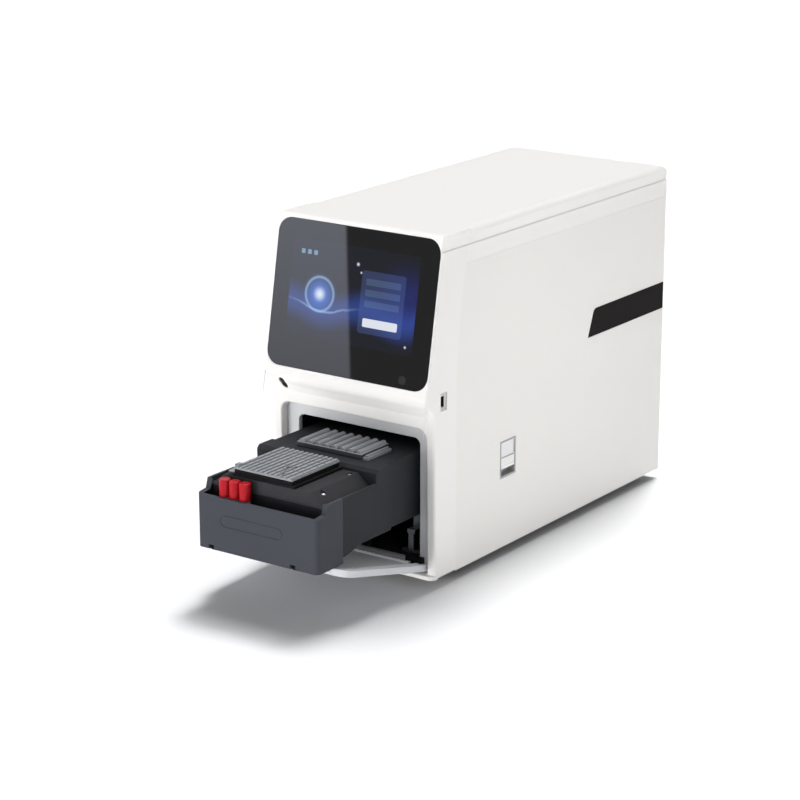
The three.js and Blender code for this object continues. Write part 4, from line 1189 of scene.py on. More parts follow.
@dataclass
class Front:
    """The fascia with its screen, socket and bay mouth."""

    shell: Shell
    nose: Point = (-29.0, 237.0)
    chin: Point = (-18.8, 230.0)
    face_top: Point = (-8.5, 217.0)
    chin_pull: Point = (-15.5, 226.5)
    face_foot: float = -5.0
    sill_out: float = -11.0
    sill_corner: float = 9.0
    sill_round: float = 1.2
    sill_back: float = 0.4
    sill_inset: float = 0.05
    top_round: float = 8.0
    wall: float = 3.5
    hollow_bend: float = 200.0
    face_back: float = 12.0
    screen_wall: float = 12.2
    glass_half: Point = (127.0, 96.5)
    glass_corner: float = 19.7
    glass_thickness: float = 3.0
    glass_middle: float = 349.7
    display_half: Point = (105.3, 75.6)
    recess_half: float = 116.0
    recess_foot: float = 5.5
    recess_top: float = 201.0
    recess_corner: float = 14.0
    recess_corner_foot: float = 4.0
    recess_floor: float = 5.0
    mouth_half: float = 97.0
    mouth_foot: float = 18.0
    mouth_top: float = 183.0
    mouth_corner: float = 9.0
    hinge_near: float = 77.7
    hinge_far: float = 104.8
    hinge_front: float = 2.0
    hinge_top: float = 23.8
    socket_front: float = 5.0
    socket_back: float = 19.0
    socket_foot: float = 224.0
    socket_top: float = 248.0
    socket_depth: float = 18.0
    port_low: Point = (6.3, 228.7)
    port_high: Point = (12.6, 243.3)
    port_depth: float = 15.5
    tongue_low: Point = (8.4, 230.9)
    tongue_high: Point = (10.5, 241.1)
    tongue_setback: float = 2.5
    slot_centre: Point = (-103.6, 229.8)
    slot_size: Point = (17.4, 9.0)
    slot_tilt: float = -80.0
    slot_end: float = -8.0
    slot_gap: float = 0.05
    slot_ends: float = 0.94
    lens_depth: float = 1.6
    lens_length: float = 30.0
    side_round: float = 4.0
    rim_round: float = 2.2
    mouth_round: float = 1.6

    def side_view(self) -> list[Point]:
        """The fascia's outline from the side, in y and z."""
        shell = self.shell
        top = shell.height
        brow = shell.screen_y(top)
        return [
            (shell.fascia_depth, 0.0),
            *shell.seam(0.0),
            *curve(
                (brow + self.top_round, top),
                (brow, top),
                (shell.screen_y(top - self.top_round), top - self.top_round),
            ),
            *curve(shell.screen_foot, self.nose, self.chin, 14),
            *curve(self.chin, self.chin_pull, self.face_top, 6),
            (self.face_foot, 0.0),
        ]

    def side_share(self, start: Vector, end: Vector) -> float:
        """How far the edges of the fascia's sides are rounded: less beside the screen."""
        if min(abs(start.x), abs(end.x)) < self.shell.half - TOUCH or start.x * end.x < 0:
            return 0.0
        if min(start.y, end.y) > self.shell.fascia_depth - 1:
            return 0.0
        return 0.5 if max(start.z, end.z) > self.shell.screen_foot[1] + 1 else 1.0

    def hollow(self) -> list[Point]:
        """The open space inside the fascia from the side."""
        shell = self.shell
        top = shell.height - self.wall
        bend = shell.bend_height
        rear = shell.fascia_depth + shell.lean + OVERRUN
        return [
            (self.face_back, self.wall),
            (self.face_back, self.hollow_bend),
            (shell.screen_y(bend) + self.screen_wall, bend),
            (shell.screen_y(top) + self.screen_wall, top),
            (rear, top),
            (rear, self.wall),
        ]

    def on_screen(self, piece: Object) -> Object:
        """Sets a piece drawn about the origin at the screen's place and tilt."""
        height = self.glass_middle
        return placed(piece, (0, self.shell.screen_y(height), height), -self.shell.screen_tilt)

    def flat(self, half: Point, corner: float, start: float, end: float) -> Object:
        """A rounded plate behind the screen's plane, from one depth to another."""
        outline = pane((0.0, 0.0), half, corner)
        return self.on_screen(slab(Axis.Y, outline, start, end, ORIGIN))

    def fascia(self) -> Object:
        """Models the white moulding with its recess, the bay's mouth and the small openings."""
        half = self.shell.half
        body = slab(Axis.X, self.side_view(), -half, half)
        round_by(body, self.side_round, self.side_share)
        foot = self.recess_foot
        recess = rounded(
            (-self.recess_half, foot),
            (self.recess_half, self.recess_top),
            self.recess_corner,
            self.recess_corner_foot,
        )
        glass = (self.glass_half[0] + GAP, self.glass_half[1] + GAP)
        cut(
            body,
            slab(Axis.X, self.hollow(), -half + self.wall, half - self.wall),
            slab(Axis.Y, recess, -BEYOND, self.recess_floor),
            self.flat(glass, self.glass_corner + GAP, -OVERRUN, self.glass_thickness + GAP),
        )
        round_by(body, self.rim_round, self.rim_share)
        wide = half - self.sill_inset
        sill = rounded((-wide, self.sill_out), (wide, 0), self.sill_back, self.sill_corner)
        lip = slab(Axis.Z, sill, HAIR, foot - HAIR)
        join(body, round_by(lip, self.sill_round, self.sill_share))
        mouth = rounded(
            (-self.mouth_half, self.mouth_foot),
            (self.mouth_half, self.mouth_top),
            self.mouth_corner,
        )
        cut(body, slab(Axis.Y, mouth, 0, self.face_back + OVERRUN))
        round_by(body, self.mouth_round, self.mouth_share)
        tools = [
            self.flat(self.display_half, 1, 0, self.screen_wall + OVERRUN),
            block(
                (half - self.wall - OVERRUN, self.socket_front, self.socket_foot),
                (half + OVERRUN, self.socket_back, self.socket_top),
            ),
            self.slot_plug(self.slot_end - self.lens_length, 0.0),
            *pair(
                (self.hinge_near, self.hinge_front, foot + HAIR),
                (self.hinge_far, self.face_back + OVERRUN, self.hinge_top),
            ),
            *self.shell.coves(-BEYOND, self.shell.depth),
        ]
        return shade(cut(body, *tools), 32)

    def on_recess(self, point: Vector) -> bool:
        """Whether a point stands on the outline of the recess round the bay."""
        low = self.recess_foot
        top = self.recess_top
        within = abs(point.x) < self.recess_half + TOUCH
        within = within and low - TOUCH < point.z < top + TOUCH
        near_side = abs(point.x) > self.recess_half - self.recess_corner - TOUCH
        near_end = point.z > top - TOUCH or point.z < low + TOUCH
        return within and (near_side or near_end)

    def rim_share(self, start: Vector, end: Vector) -> float:
        """The front rim of the recess is rounded."""
        level = abs(start.y - end.y) < 3.5 and max(start.y, end.y) < 0
        foot = max(start.z, end.z) < self.recess_foot + TOUCH
        around = self.on_recess(start) and self.on_recess(end)
        return 1.0 if level and around and not foot and max(start.y, end.y) > -10 else 0.0

    def sill_share(self, start: Vector, end: Vector) -> float:
        """The front edges of the sill are rounded, above and below."""
        level = abs(start.z - end.z) < TOUCH
        return 1.0 if level and max(start.y, end.y) < -0.5 else 0.0

    def mouth_share(self, start: Vector, end: Vector) -> float:
        """The front edge of the bay's mouth is rounded."""
        shown = [
            abs(point.y - self.recess_floor) < TOUCH
            and abs(point.x) < self.mouth_half + TOUCH
            and self.mouth_foot - TOUCH < point.z < self.mouth_top + TOUCH
            for point in (start, end)
        ]
        return 1.0 if all(shown) else 0.0

    def slot_plug(self, start: float, inset: float) -> Object:
        """A slab in the slot's outline from a depth to the slot's end, drawn in by an inset."""
        half = (self.slot_size[0] / 2 - inset, self.slot_size[1] / 2 - inset)
        outline = pane((0.0, 0.0), half, half[1] * self.slot_ends)
        x, z = self.slot_centre
        plug = slab(Axis.Y, outline, start, self.slot_end, ORIGIN)
        return placed(plug, (x, 0, z), self.slot_tilt, Axis.Y)

    def lens(self) -> Object:
        """Models the black lens that fills the slot up to just under the chin's surface."""
        plug = self.slot_plug(self.slot_end - self.lens_length, self.slot_gap)
        sunk = [(y + self.lens_depth, z) for y, z in self.side_view()]
        combine(plug, [slab(Axis.X, sunk, -self.shell.half, 0)], "INTERSECT")
        return soften(plug, 0.3, 2)

    def socket(self) -> Object:
        """Models the dark socket in the fascia's side."""
        face = self.shell.half - 1
        floor = face - self.port_depth
        tip = face - self.tongue_setback
        body = block(
            (face - self.socket_depth, self.socket_front + GAP, self.socket_foot + GAP),
            (face, self.socket_back - GAP, self.socket_top - GAP),
        )
        mouth = block((floor, *self.port_low), (face + OVERRUN, *self.port_high))
        tongue = block((floor - 0.5, *self.tongue_low), (tip, *self.tongue_high))
        return soften(join(cut(body, mouth), tongue), 0.3, 2)

    def build(self, frame: dict[str, Any], finishes: Finishes) -> None:
        """Models and dresses the front."""
        fit(self.fascia(), "fascia", "cabinet", "housing_white", finishes.moulding, "front_fascia")
        glass = self.flat(self.glass_half, self.glass_corner, 0, self.glass_thickness)
        soften(glass, 0.6, 3)
        fit(glass, "screen", "cabinet", "screen_glass", finishes.glass, "screen_glass")
        fit(self.socket(), "side_socket", "cabinet", "black_plastic", finishes.port, "usb_port")
        fit(self.lens(), "slot_lens", "cabinet", "black_plastic", finishes.black)
        dress(frame, finishes.display, "display_module")


@dataclass
class Cabinet:
    """The cover, the sheet panels, the feet and the label band."""

    shell: Shell
    round_top: float = 10.0
    rear_round: float = 13.0
    cover_wall: float = 3.0
    sheet: float = 2.5
    cover_edge: float = 0.7
    panel_edge: float = 0.6
    foot_radius: float = 14.0
    foot_height: float = 13.0
    foot_inset: float = 32.0
    foot_round: float = 2.8
    pit_radius: float = 4.0
    pit_depth: float = 3.0
    band_foot: float = 242.0
    band_top: float = 281.0
    band_start: float = 362.0
    band_lean: float = 15.0
    band_thickness: float = 0.6
    latch_low: Point = (145.0, 96.5)
    latch_high: Point = (183.0, 148.0)

    def cover(self) -> Object:
        """Models the top cover with its round edges and the hollow along its sides."""
        shell = self.shell
        foot = shell.panel_top
        half = shell.half
        wall = self.cover_wall
        bend = self.round_top
        section = [
            (-half, foot),
            (half, foot),
            *arc((half - bend, shell.height - bend), bend, 0, 90),
            *arc((-half + bend, shell.height - bend), bend, 90, 180),
        ]
        body = slab(Axis.Y, section, -OVERRUN, shell.depth + OVERRUN)
        bend = self.rear_round
        outline = [
            shell.seam_at(shell.seam_gap, foot),
            *[point for point in shell.seam(shell.seam_gap) if point[1] > foot],
            *arc((shell.depth - bend, shell.height - bend), bend, 90, 0),
            (shell.depth, foot),
        ]
        combine(body, [slab(Axis.X, outline, -half - 1, half + 1)], "INTERSECT")
        inside = block(
            (-half + wall, -OVERRUN, foot - OVERRUN),
            (half - wall, shell.depth - wall, shell.height - wall),
        )
        round_edges(inside, self.round_top - wall, 4)
        cut(body, inside, *shell.coves(-OVERRUN, shell.depth + OVERRUN))
        return soften(body, self.cover_edge, 3)

    def panel(self, side: int) -> Object:
        """Models a side panel, the right one with its hole and its pocket."""
        shell = self.shell
        top = shell.panel_top - shell.seam_gap
        front = shell.fascia_depth + shell.seam_gap
        seam = [point for point in shell.seam(shell.seam_gap) if point[1] < top]
        outline = [
            (front, 0.0),
            *seam,
            shell.seam_at(shell.seam_gap, top),
            (shell.depth, top),
            (shell.depth, 0.0),
        ]
        low, high = sorted((side * shell.panel_inner, side * shell.panel_half))
        body = slab(Axis.X, outline, low, high)
        if side > 0:
            hole = block((low - OVERRUN, *self.latch_low), (high + OVERRUN, *self.latch_high))
            floor = shell.panel_half - self.band_thickness - GAP
            cut(body, hole, slab(Axis.X, self.band_outline(0.0), floor, high + OVERRUN))
        return soften(body, self.panel_edge, 3)

    def band_outline(self, inset: float) -> list[Point]:
        """The label band's outline from the side, drawn in by an inset."""
        foot = self.band_foot + inset
        top = self.band_top - inset
        start = self.band_start + inset
        corner = (self.band_top - self.band_foot) / 6
        return [
            (start, foot),
            *curve(
                (start + self.band_lean * 5 / 6, top - corner),
                (start + self.band_lean, top),
                (start + self.band_lean + corner, top),
            ),
            (self.shell.depth - inset, top),
            (self.shell.depth - inset, foot),
        ]

    def foot(self, x: float, y: float) -> Object:
        """Models one rubber foot with a rounded rim and a screw pit."""
        radius = self.foot_radius
        deep = self.foot_height
        bend = self.foot_round
        pit = -deep + self.pit_depth
        profile = [
            (0.0, pit),
            (self.pit_radius, pit),
            (self.pit_radius, -deep),
            *curve((radius - bend, -deep), (radius, -deep), (radius, -deep + bend), 5),
            (radius, -GAP - bend),
            *curve((radius, -GAP - bend), (radius, -GAP), (radius - bend, -GAP), 5),
            (0.0, -GAP),
        ]
        return shade(turned(Axis.Z, profile, (x, y), sides=40))

    def build(self, frame: dict[str, Any], finishes: Finishes) -> None:
        """Models and dresses the cabinet."""
        shell = self.shell
        fit(self.cover(), "cover", "cabinet", "housing_white", finishes.housing, "top_cover")
        for side, name in ((-1, "left_side_panel"), (1, "right_side_panel")):
            fit(self.panel(side), f"{name}_sheet", "cabinet", "cabinet_paint", finishes.paint, name)
        face = shell.panel_half
        band = slab(Axis.X, self.band_outline(GAP), face - self.band_thickness, face)
        soften(band, 0.15, 2)
        fit(band, "label_band", "cabinet", "label_black", finishes.label, "side_label_band")
        reach = shell.half - self.foot_inset
        front = shell.fascia_depth + self.foot_inset
        rear = shell.depth - self.foot_inset
        for name, x, y in (
            ("foot_front_left", -reach, front),
            ("foot_front_right", reach, front),
            ("foot_rear_left", -reach, rear),
            ("foot_rear_right", reach, rear),
        ):
            fit(self.foot(x, y), f"{name}_pad", "cabinet", "foot_rubber", finishes.rubber, name)
        dress(frame, finishes.zinc, "base_plate")


@dataclass
class SideLatch:
    """The latch let into the right panel."""

    shell: Shell
    front: float = 145.3
    back: float = 182.7
    foot: float = 96.8
    top: float = 147.7
    depth: float = 14.0
    rim: float = 2.5
    edge: float = 0.5
    pane_foot: float = 124.5
    pane_top: float = 145.5
    pane_depth: float = 1.8
    pane_corner: float = 2.0
    well_corner: float = 1.5
    paddle_foot: float = 108.9
    paddle_top: float = 123.9
    paddle_thickness: float = 3.0
    paddle_setback: float = 0.5
    groove_radius: float = 2.2
    groove_inset: float = 4.0
    groove_out: float = 1.5
    groove_rise: float = 5.0

    def frame_piece(self) -> Object:
        """Models the frame with its pane and well."""
        face = self.shell.panel_half
        front = self.front + self.rim
        back = self.back - self.rim
        body = block((face - self.depth, self.front, self.foot), (face, self.back, self.top))
        pocket = rounded((front, self.pane_foot), (back, self.pane_top), self.pane_corner)
        low = (front, self.foot + self.rim)
        well = rounded(low, (back, self.paddle_top + GAP), self.well_corner)
        cut(
            body,
            slab(Axis.X, pocket, face - self.pane_depth, face + OVERRUN),
            slab(Axis.X, well, face - self.depth + self.rim, face + OVERRUN),
        )
        return soften(body, self.edge, 3)

    def paddle(self) -> Object:
        """Models the paddle with its finger groove."""
        face = self.shell.panel_half - self.paddle_setback
        front = self.front + self.rim + GAP
        back = self.back - self.rim - GAP
        foot = self.paddle_foot
        top = self.paddle_top - TOUCH
        body = block((face - self.paddle_thickness, front, foot), (face, back, top))
        centre = (face + self.groove_out, foot + self.groove_rise)
        inset = self.groove_inset
        groove = rod(Axis.Y, self.groove_radius, front + inset, back - inset, centre, sides=24)
        return soften(cut(body, groove), self.edge, 3)

    def build(self, frame: dict[str, Any], finishes: Finishes) -> None:
        """Models and dresses the latch."""
        slot = "housing_white"
        frame_piece = self.frame_piece()
        fit(frame_piece, "latch_surround", "cabinet", slot, finishes.latch, "latch_frame")
        fit(self.paddle(), "latch_pull", "paddle", slot, finishes.housing, "latch_paddle")
        dress(frame, finishes.steel, "latch_pin")


@dataclass
class BayDoor:
    """The door at the foot of the bay, drawn shut and turned down about its hinge line."""

    shell: Shell
    pivot_height: float = 12.0
    open_angle: float = 76.0
    half: float = 112.0
    length: float = 180.0
    bead: float = 4.0
    plate: float = 4.0
    flange_height: float = 8.5
    flange: float = 14.0
    gate: float = 80.0
    corner: float = 20.0
    hem: float = 7.0
    pad: float = 1.5
    edge: float = 0.8
    pin_radius: float = 2.05
    ear_middle: float = 91.25
    ear_half: float = 4.3
    ear_front: float = 5.0
    ear_foot: float = 5.8
    keeper_setback: float = 34.0
    keeper_length: float = 12.0
    keeper_width: float = 3.0
    block_near: float = 78.0
    block_far: float = 104.5
    block_depth: float = 12.0
    block_top: float = 23.5

    def hang(self, piece: Object) -> Object:
        """Turns a piece that is drawn shut down to where the door rests."""
        return placed(piece, (0, 0, self.pivot_height), self.open_angle)

    def panel(self) -> Object:
        """Models the door's tray with its flanges, bead and keeper slot."""
        bead = self.bead
        back = self.flange_height - bead
        inner = self.half - self.flange
        outline = rounded((-self.half, 0), (self.half, self.length), self.corner, GAP)
        tray = slab(Axis.Y, outline, -bead, back, ORIGIN)
        hollows = [
            block((-wide, self.plate - bead, foot), (wide, back + OVERRUN, top), ORIGIN)
            for wide, foot, top in (
                (inner, -OVERRUN, self.length - self.flange),
                (self.block_far + GAP, -OVERRUN, self.hem + bead),
                (self.gate, self.length / 2, self.length + OVERRUN),
            )
        ]
        cut(tray, *hollows)
        join(
            tray,
            rod(Axis.X, bead - HAIR / 2, -inner, inner, (0, 0), ORIGIN),
            block((-inner, -bead + HAIR, HAIR), (inner, bead, self.hem), ORIGIN),
        )
        end = self.length - self.keeper_setback
        keeper = block(
            (inner - GAP, back - self.keeper_width, end - self.keeper_length),
            (inner + self.keeper_width, back + OVERRUN, end),
            ORIGIN,
        )
        ears = pair(
            (self.ear_middle - self.ear_half, -bead - OVERRUN, -bead - OVERRUN),
            (self.ear_middle + self.ear_half, bead + OVERRUN, self.hem + bead),
            ORIGIN,
        )
        pin = rod(Axis.X, self.pin_radius, -self.half - 1, self.half + 1, (0, 0), ORIGIN)
        return self.hang(soften(cut(tray, *ears, pin, keeper), self.edge, 3))

    def liner(self) -> Object:
        """Models the pad let into the door."""
        side = self.half - self.flange
        front = self.plate - self.bead + GAP
        low = (-side, self.hem + self.bead)
        high = (side, self.length - self.flange)
        outline = rounded(low, high, self.corner / 5, inset=GAP)
        pad = slab(Axis.Y, outline, front, front + self.pad, ORIGIN)
        return self.hang(soften(pad, 0.5, 3))

    def hinge_block(self, side: int) -> Object:
        """Models one hinge block with its ear."""
        near, far = sorted((side * self.block_near, side * self.block_far))
        middle = side * self.ear_middle
        left = middle - self.ear_half + GAP
        right = middle + self.ear_half - GAP
        reach = self.bead + GAP
        height = self.pivot_height
        deep = self.block_depth
        cap = block((near, 0, height + reach), (far, deep, self.block_top))
        parts = [
            rod(Axis.X, reach, left, right, (0, height)),
            block((left, 0, height - reach), (right, deep, self.block_top - GAP)),
            block((left, self.ear_front, self.ear_foot), (right, deep, height)),
        ]
        hole = rod(Axis.X, self.pin_radius, left - OVERRUN, right + OVERRUN, (0, height))
        return soften(cut(join(cap, *parts), hole), 0.7, 3)

    def build(self, frame: dict[str, Any], finishes: Finishes) -> None:
        """Models and dresses the door and its hinge."""
        fit(self.panel(), "door_tray", "bay_door", "door_grey", finishes.door, "door_panel")
        fit(self.liner(), "door_pad", "bay_door", "door_grey", finishes.door, "door_liner")
        dress(frame, finishes.steel, "door_hinge_pin")
        slot = "black_plastic"
        for side, name in ((-1, "door_hinge_block_left"), (1, "door_hinge_block_right")):
            fit(self.hinge_block(side), f"{name}_cast", "cabinet", slot, finishes.black, name)


@dataclass
class Drawer:
    """The drawer with its deck, cartridge, rack, tubes and guide wheels, in its own millimetres."""

    half: float = 95.0
    block_length: float = 52.0
    block_foot: float = 61.5
    block_top: float = 132.0
    corner: float = 6.5
    wall: float = 4.0
    trough_floor: float = 122.0
    trough_end: float = 22.0
    tray_top: float = 147.0
    ledge: float = 139.0
    length: float = 350.0
    body_foot: float = 77.0
    ramp_length: float = 40.0
    ramp_drop: float = 8.0
    rear_start: float = 122.0
    rear_top: float = 164.0
    rear_bevel: float = 4.5
    step_start: float = 154.0
    step_depth: float = 5.0
    edge: float = 0.8
    deck_top: float = 156.8
    deck_lip: float = 1.8
    seat_radius: float = 4.0
    deck_half: float = 67.0
    deck_slope: float = 19.0
    pill_centre: Point = (-8.5, 103.0)
    pill_half: Point = (49.0, 7.8)
    pill_line: float = 0.7
    pill_ends: float = 0.05
    pill_depth: float = 0.5
    cartridge_low: Point = (-53.0, 23.1)
    cartridge_high: Point = (39.0, 121.1)
    cartridge_foot: float = 157.1
    cartridge_top: float = 168.0
    cartridge_plate: float = 2.4
    skirt_inset: float = 2.5
    skirt_wall: float = 1.6
    lanes: int = 8
    cartridge_lanes: int = 12
    lane_rise: float = 1.6
    well_rows: int = 6
    well_margin: float = 12.0
    well_depth: float = 0.6
    notch_half: float = 1.3
    notch_arms: tuple[tuple[Point, Point], ...] = (
        ((22.0, 26.0), (3.0, 62.0)),
        ((9.0, 52.0), (15.0, 66.0)),
    )
    cradle_ledge: float = 3.4
    cradle_room: float = 19.0
    clip_wall: float = 1.4
    rack_low: Point = (-50.0, 148.0)
    rack_high: Point = (53.0, 208.0)
    rack_foot: float = 164.3
    rack_height: float = 8.0
    rack_room: float = 20.0
    strip_low: Point = (56.0, 146.5)
    strip_high: Point = (64.0, 198.5)
    strip_base: float = 4.0
    strip_height: float = 6.4
    hole_foot: float = 112.0
    hole_top: float = 130.0
    tube_radius: float = 6.5
    tube_places: tuple[float, ...] = (-58.5, -42.5, -26.5)
    tube_row: float = 12.0
    cap_radius: float = 7.4
    cap_height: float = 22.5
    cap_round: float = 1.6
    grips: int = 18
    grip_radius: float = 0.38
    wheel_radius: float = 4.5
    wheel_width: float = 8.0
    tread_round: float = 1.2
    axle_radius: float = 1.2
    axle_end: float = 2.2
    bore_radius: float = 1.35
    bore_reach: float = 5.5
    fork_wall: float = 2.5
    wheel_row: float = 8.0
    wheel_height: float = 62.5
    wheel_places: tuple[float, ...] = (-73.0, 56.0)
    screw_places: tuple[Point3, ...] = ((72.5, 42.0, 149.6), (61.0, 111.5, 153.6))

    def room(self, inset: float, low: Point, high: Point) -> Object:
        """A box as wide as the drawer less an inset at each side, between two y and z."""
        half = self.half - inset
        return block((-half, *low), (half, *high), DRAWER)

    def upright(self, low: Point, high: Point, inset: float, foot: float, top: float) -> Object:
        """A box from foot to top on a plan that is drawn in by an inset."""
        return block(
            (low[0] + inset, low[1] + inset, foot), (high[0] - inset, high[1] - inset, top), DRAWER
        )

    def front_block(self) -> Object:
        """Models the drawer's front block with its trough and the tubes' holes."""
        half = self.half
        side = [
            (0, self.block_foot),
            (0, self.block_top),
            (self.trough_end - self.wall, self.block_top + self.wall / 2),
            (self.trough_end, self.tray_top),
            (self.block_length, self.tray_top),
            (self.block_length, self.block_foot),
        ]
        plan = [
            (-half, self.block_length),
            *arc((-half + self.corner, self.corner), self.corner, 180, 270),
            *arc((half - self.corner, self.corner), self.corner, 270, 360),
            (half, self.block_length),
        ]
        body = slab(Axis.X, side, -half, half, DRAWER)
        combine(body, [slab(Axis.Z, plan, 0, BEYOND, DRAWER)], "INTERSECT")
        wall = self.wall
        foot = self.block_foot + wall
        rear = self.block_length + OVERRUN
        cut(
            body,
            self.room(wall * 2, (wall, self.trough_floor), (self.trough_end + GAP, BEYOND)),
            self.room(wall, (self.trough_end, self.ledge), (rear, BEYOND)),
            self.room(wall * 2, (wall, foot), (rear, self.trough_floor - wall)),
            self.pill_groove(),
        )
        radius = self.tube_radius + GAP
        holes = [
            rod(Axis.Z, radius, self.hole_foot, self.hole_top, (x, self.tube_row), DRAWER)
            for x in self.tube_places
        ]
        forks = []
        row, height = self.wheel_row, self.wheel_height
        span = self.wheel_radius + GAP
        for x in self.wheel_places:
            left = x - self.wheel_width / 2 - GAP
            right = x + self.wheel_width / 2 + GAP
            low = (left - self.fork_wall, row - self.wheel_radius, height - self.fork_wall)
            high = (right + self.fork_wall, row + self.wheel_radius, foot + HAIR / 2)
            forks.append(block(low, high, DRAWER))
            low = (left, -OVERRUN, height - OVERRUN)
            holes.append(block(low, (right, row + span, height + span), DRAWER))
            start, end = x - self.bore_reach, x + self.bore_reach
            holes.append(rod(Axis.X, self.bore_radius, start, end, (row, height), DRAWER))
        return soften(cut(join(body, *forks), *holes), self.edge, 3)

    def pill_groove(self) -> Object:
        """The thin line of a long rounded label place on the front, as a tool."""
        shapes = []
        for inset in (0.0, self.pill_line):
            ends = self.pill_half[1] - inset - self.pill_ends
            outline = pane(self.pill_centre, self.pill_half, ends, inset)
            shapes.append(slab(Axis.Y, outline, -2 - inset, self.pill_depth + inset, DRAWER))
        return cut(*shapes)

    def body(self) -> Object:
        """Models the drawer's body behind the front block."""
        half = self.half
        start = self.block_length + GAP
        side = [
            (start, self.body_foot - self.ramp_drop),
            (start, self.tray_top),
            (self.rear_start, self.tray_top),
            (self.rear_start, self.rear_top - self.rear_bevel),
            (self.rear_start + self.rear_bevel, self.rear_top),
            (self.length, self.rear_top),
            (self.length, self.body_foot),
            (start + self.ramp_length, self.body_foot),
        ]
        body = slab(Axis.X, side, -half, half, DRAWER)
        wall = self.wall
        foot = self.body_foot + wall
        rear = self.length + OVERRUN
        near = half - self.step_depth
        cut(
            body,
            self.room(wall, (0, self.ledge), (self.rear_start, BEYOND)),
            self.room(wall * 2, (start + wall, foot), (rear, self.ledge - wall)),
            self.room(wall * 2, (self.rear_start + wall, foot), (rear, self.rear_top - wall)),
            *pair((near, self.step_start, 0), (half + OVERRUN, rear, BEYOND), DRAWER),
        )
        return soften(body, self.edge, 3)

    def deck(self) -> Object:
        """Models the raised deck with its sloping shoulders and screw seats."""
        wide = self.half - self.wall - GAP
        foot = self.ledge + GAP
        lip = foot + self.deck_lip
        top = (self.deck_half, self.deck_top)
        right = [(wide, foot), (wide, lip), (self.deck_half + self.deck_slope, lip), top]
        section = [(-wide, foot), *right, *[(-x, z) for x, z in right[:0:-1]]]
        body = slab(Axis.Y, section, self.trough_end + GAP, self.rear_start - GAP, DRAWER)
        seats = [
            rod(Axis.Z, self.seat_radius, foot, self.deck_top + OVERRUN, (x, y), DRAWER)
            for x, y, foot in self.screw_places
        ]
        return soften(cut(body, *seats), self.edge, 3)

    def screws(self) -> Object:
        """Models the bright screws on the deck's shoulder."""
        made = [DECK_SCREW.model(Axis.Z, (x, y), z, DRAWER) for x, y, z in self.screw_places]
        return bundle(*made)

    def cartridge(self) -> Object:
        """Models the ribbed cartridge with its stepped foot, wells and notch."""
        plan = (self.cartridge_low, self.cartridge_high)
        (x0, y0), (x1, y1) = plan
        foot = self.cartridge_foot
        top = self.cartridge_top
        crest = top + self.lane_rise
        shelf = top - self.cartridge_plate
        plate = self.upright(*plan, 0.0, shelf, top)
        skirt = self.upright(*plan, self.skirt_inset, foot, shelf + 1)
        inside = self.upright(*plan, self.skirt_inset + self.skirt_wall, foot - 1, shelf)
        body = cut(join(plate, skirt), inside)
        pitch = (x1 - x0) / self.cartridge_lanes
        wide = pitch / 3.4
        step = (y1 - y0 - self.well_margin * 2) / (self.well_rows - 1)
        ribs = []
        wells = []
        for lane in range(self.cartridge_lanes):
            x = x0 + (lane + 0.5) * pitch
            outline = rounded((x - wide, y0 + 0.4), (x + wide, y1 - 0.4), pitch / 3.5)
            ribs.append(slab(Axis.Z, outline, top - 0.5, crest, DRAWER))
            for row in range(self.well_rows):
                place = (x, y0 + self.well_margin + row * step)
                floor = crest - self.well_depth
                wells.append(rod(Axis.Z, pitch / 5, floor, top + 4, place, DRAWER, 12))
        join(body, *ribs)
        cut(body, bundle(*wells), *self.notch())
        return soften(body, 0.35, 2)

    def notch(self) -> list[Object]:
        """The forked groove in the cartridge's top at its front right, as tools."""
        tools = []
        wide = self.notch_half
        for start, end in self.notch_arms:
            reach = math.dist(start, end)
            arm = block((-wide, 0, -self.lane_rise), (wide, reach, OVERRUN), ORIGIN)
            turn = math.degrees(math.atan2(start[0] - end[0], end[1] - start[1]))
            tools.append(placed(arm, (*start, self.cartridge_top), turn, Axis.Z, DRAWER))
        return tools

    def cradle(self) -> Object:
        """Models the thin dark tray that the cartridge stands in."""
        low, high = self.cartridge_low, self.cartridge_high
        foot = self.deck_top
        rim = self.cartridge_top - self.cartridge_plate - GAP
        wall = slab(Axis.Z, rounded(low, high, 1.0, inset=0.5), foot, rim, DRAWER)
        outline = rounded((low[0] - 1.5, low[1] - 1.2), (high[0] + 4.5, high[1] + 0.2), 2.0)
        ledge = slab(Axis.Z, outline, foot, foot + self.cradle_ledge, DRAWER)
        inside = self.upright(low, high, 2.2, foot - 1, foot + self.cradle_room)
        return soften(cut(join(ledge, wall), inside), 0.4, 2)

    def clip(self) -> Object:
        """Models the pale clip at the cartridge's front left corner."""
        x, y = self.cartridge_low
        wall = self.clip_wall
        foot = self.deck_top + self.cradle_ledge
        top = self.cartridge_top + self.lane_rise
        body = block((x - wall, y + 4, foot), (x - HAIR, y + 13, top + 1), DRAWER)
        tab = block((x - wall, y + 5, top - 0.4), (x + 5, y + 12, top + 1), DRAWER)
        ledge = block((x - 9, y + 1, foot), (x - HAIR, y + 26, foot + 1.6), DRAWER)
        return soften(join(body, tab, ledge), 0.3, 2)

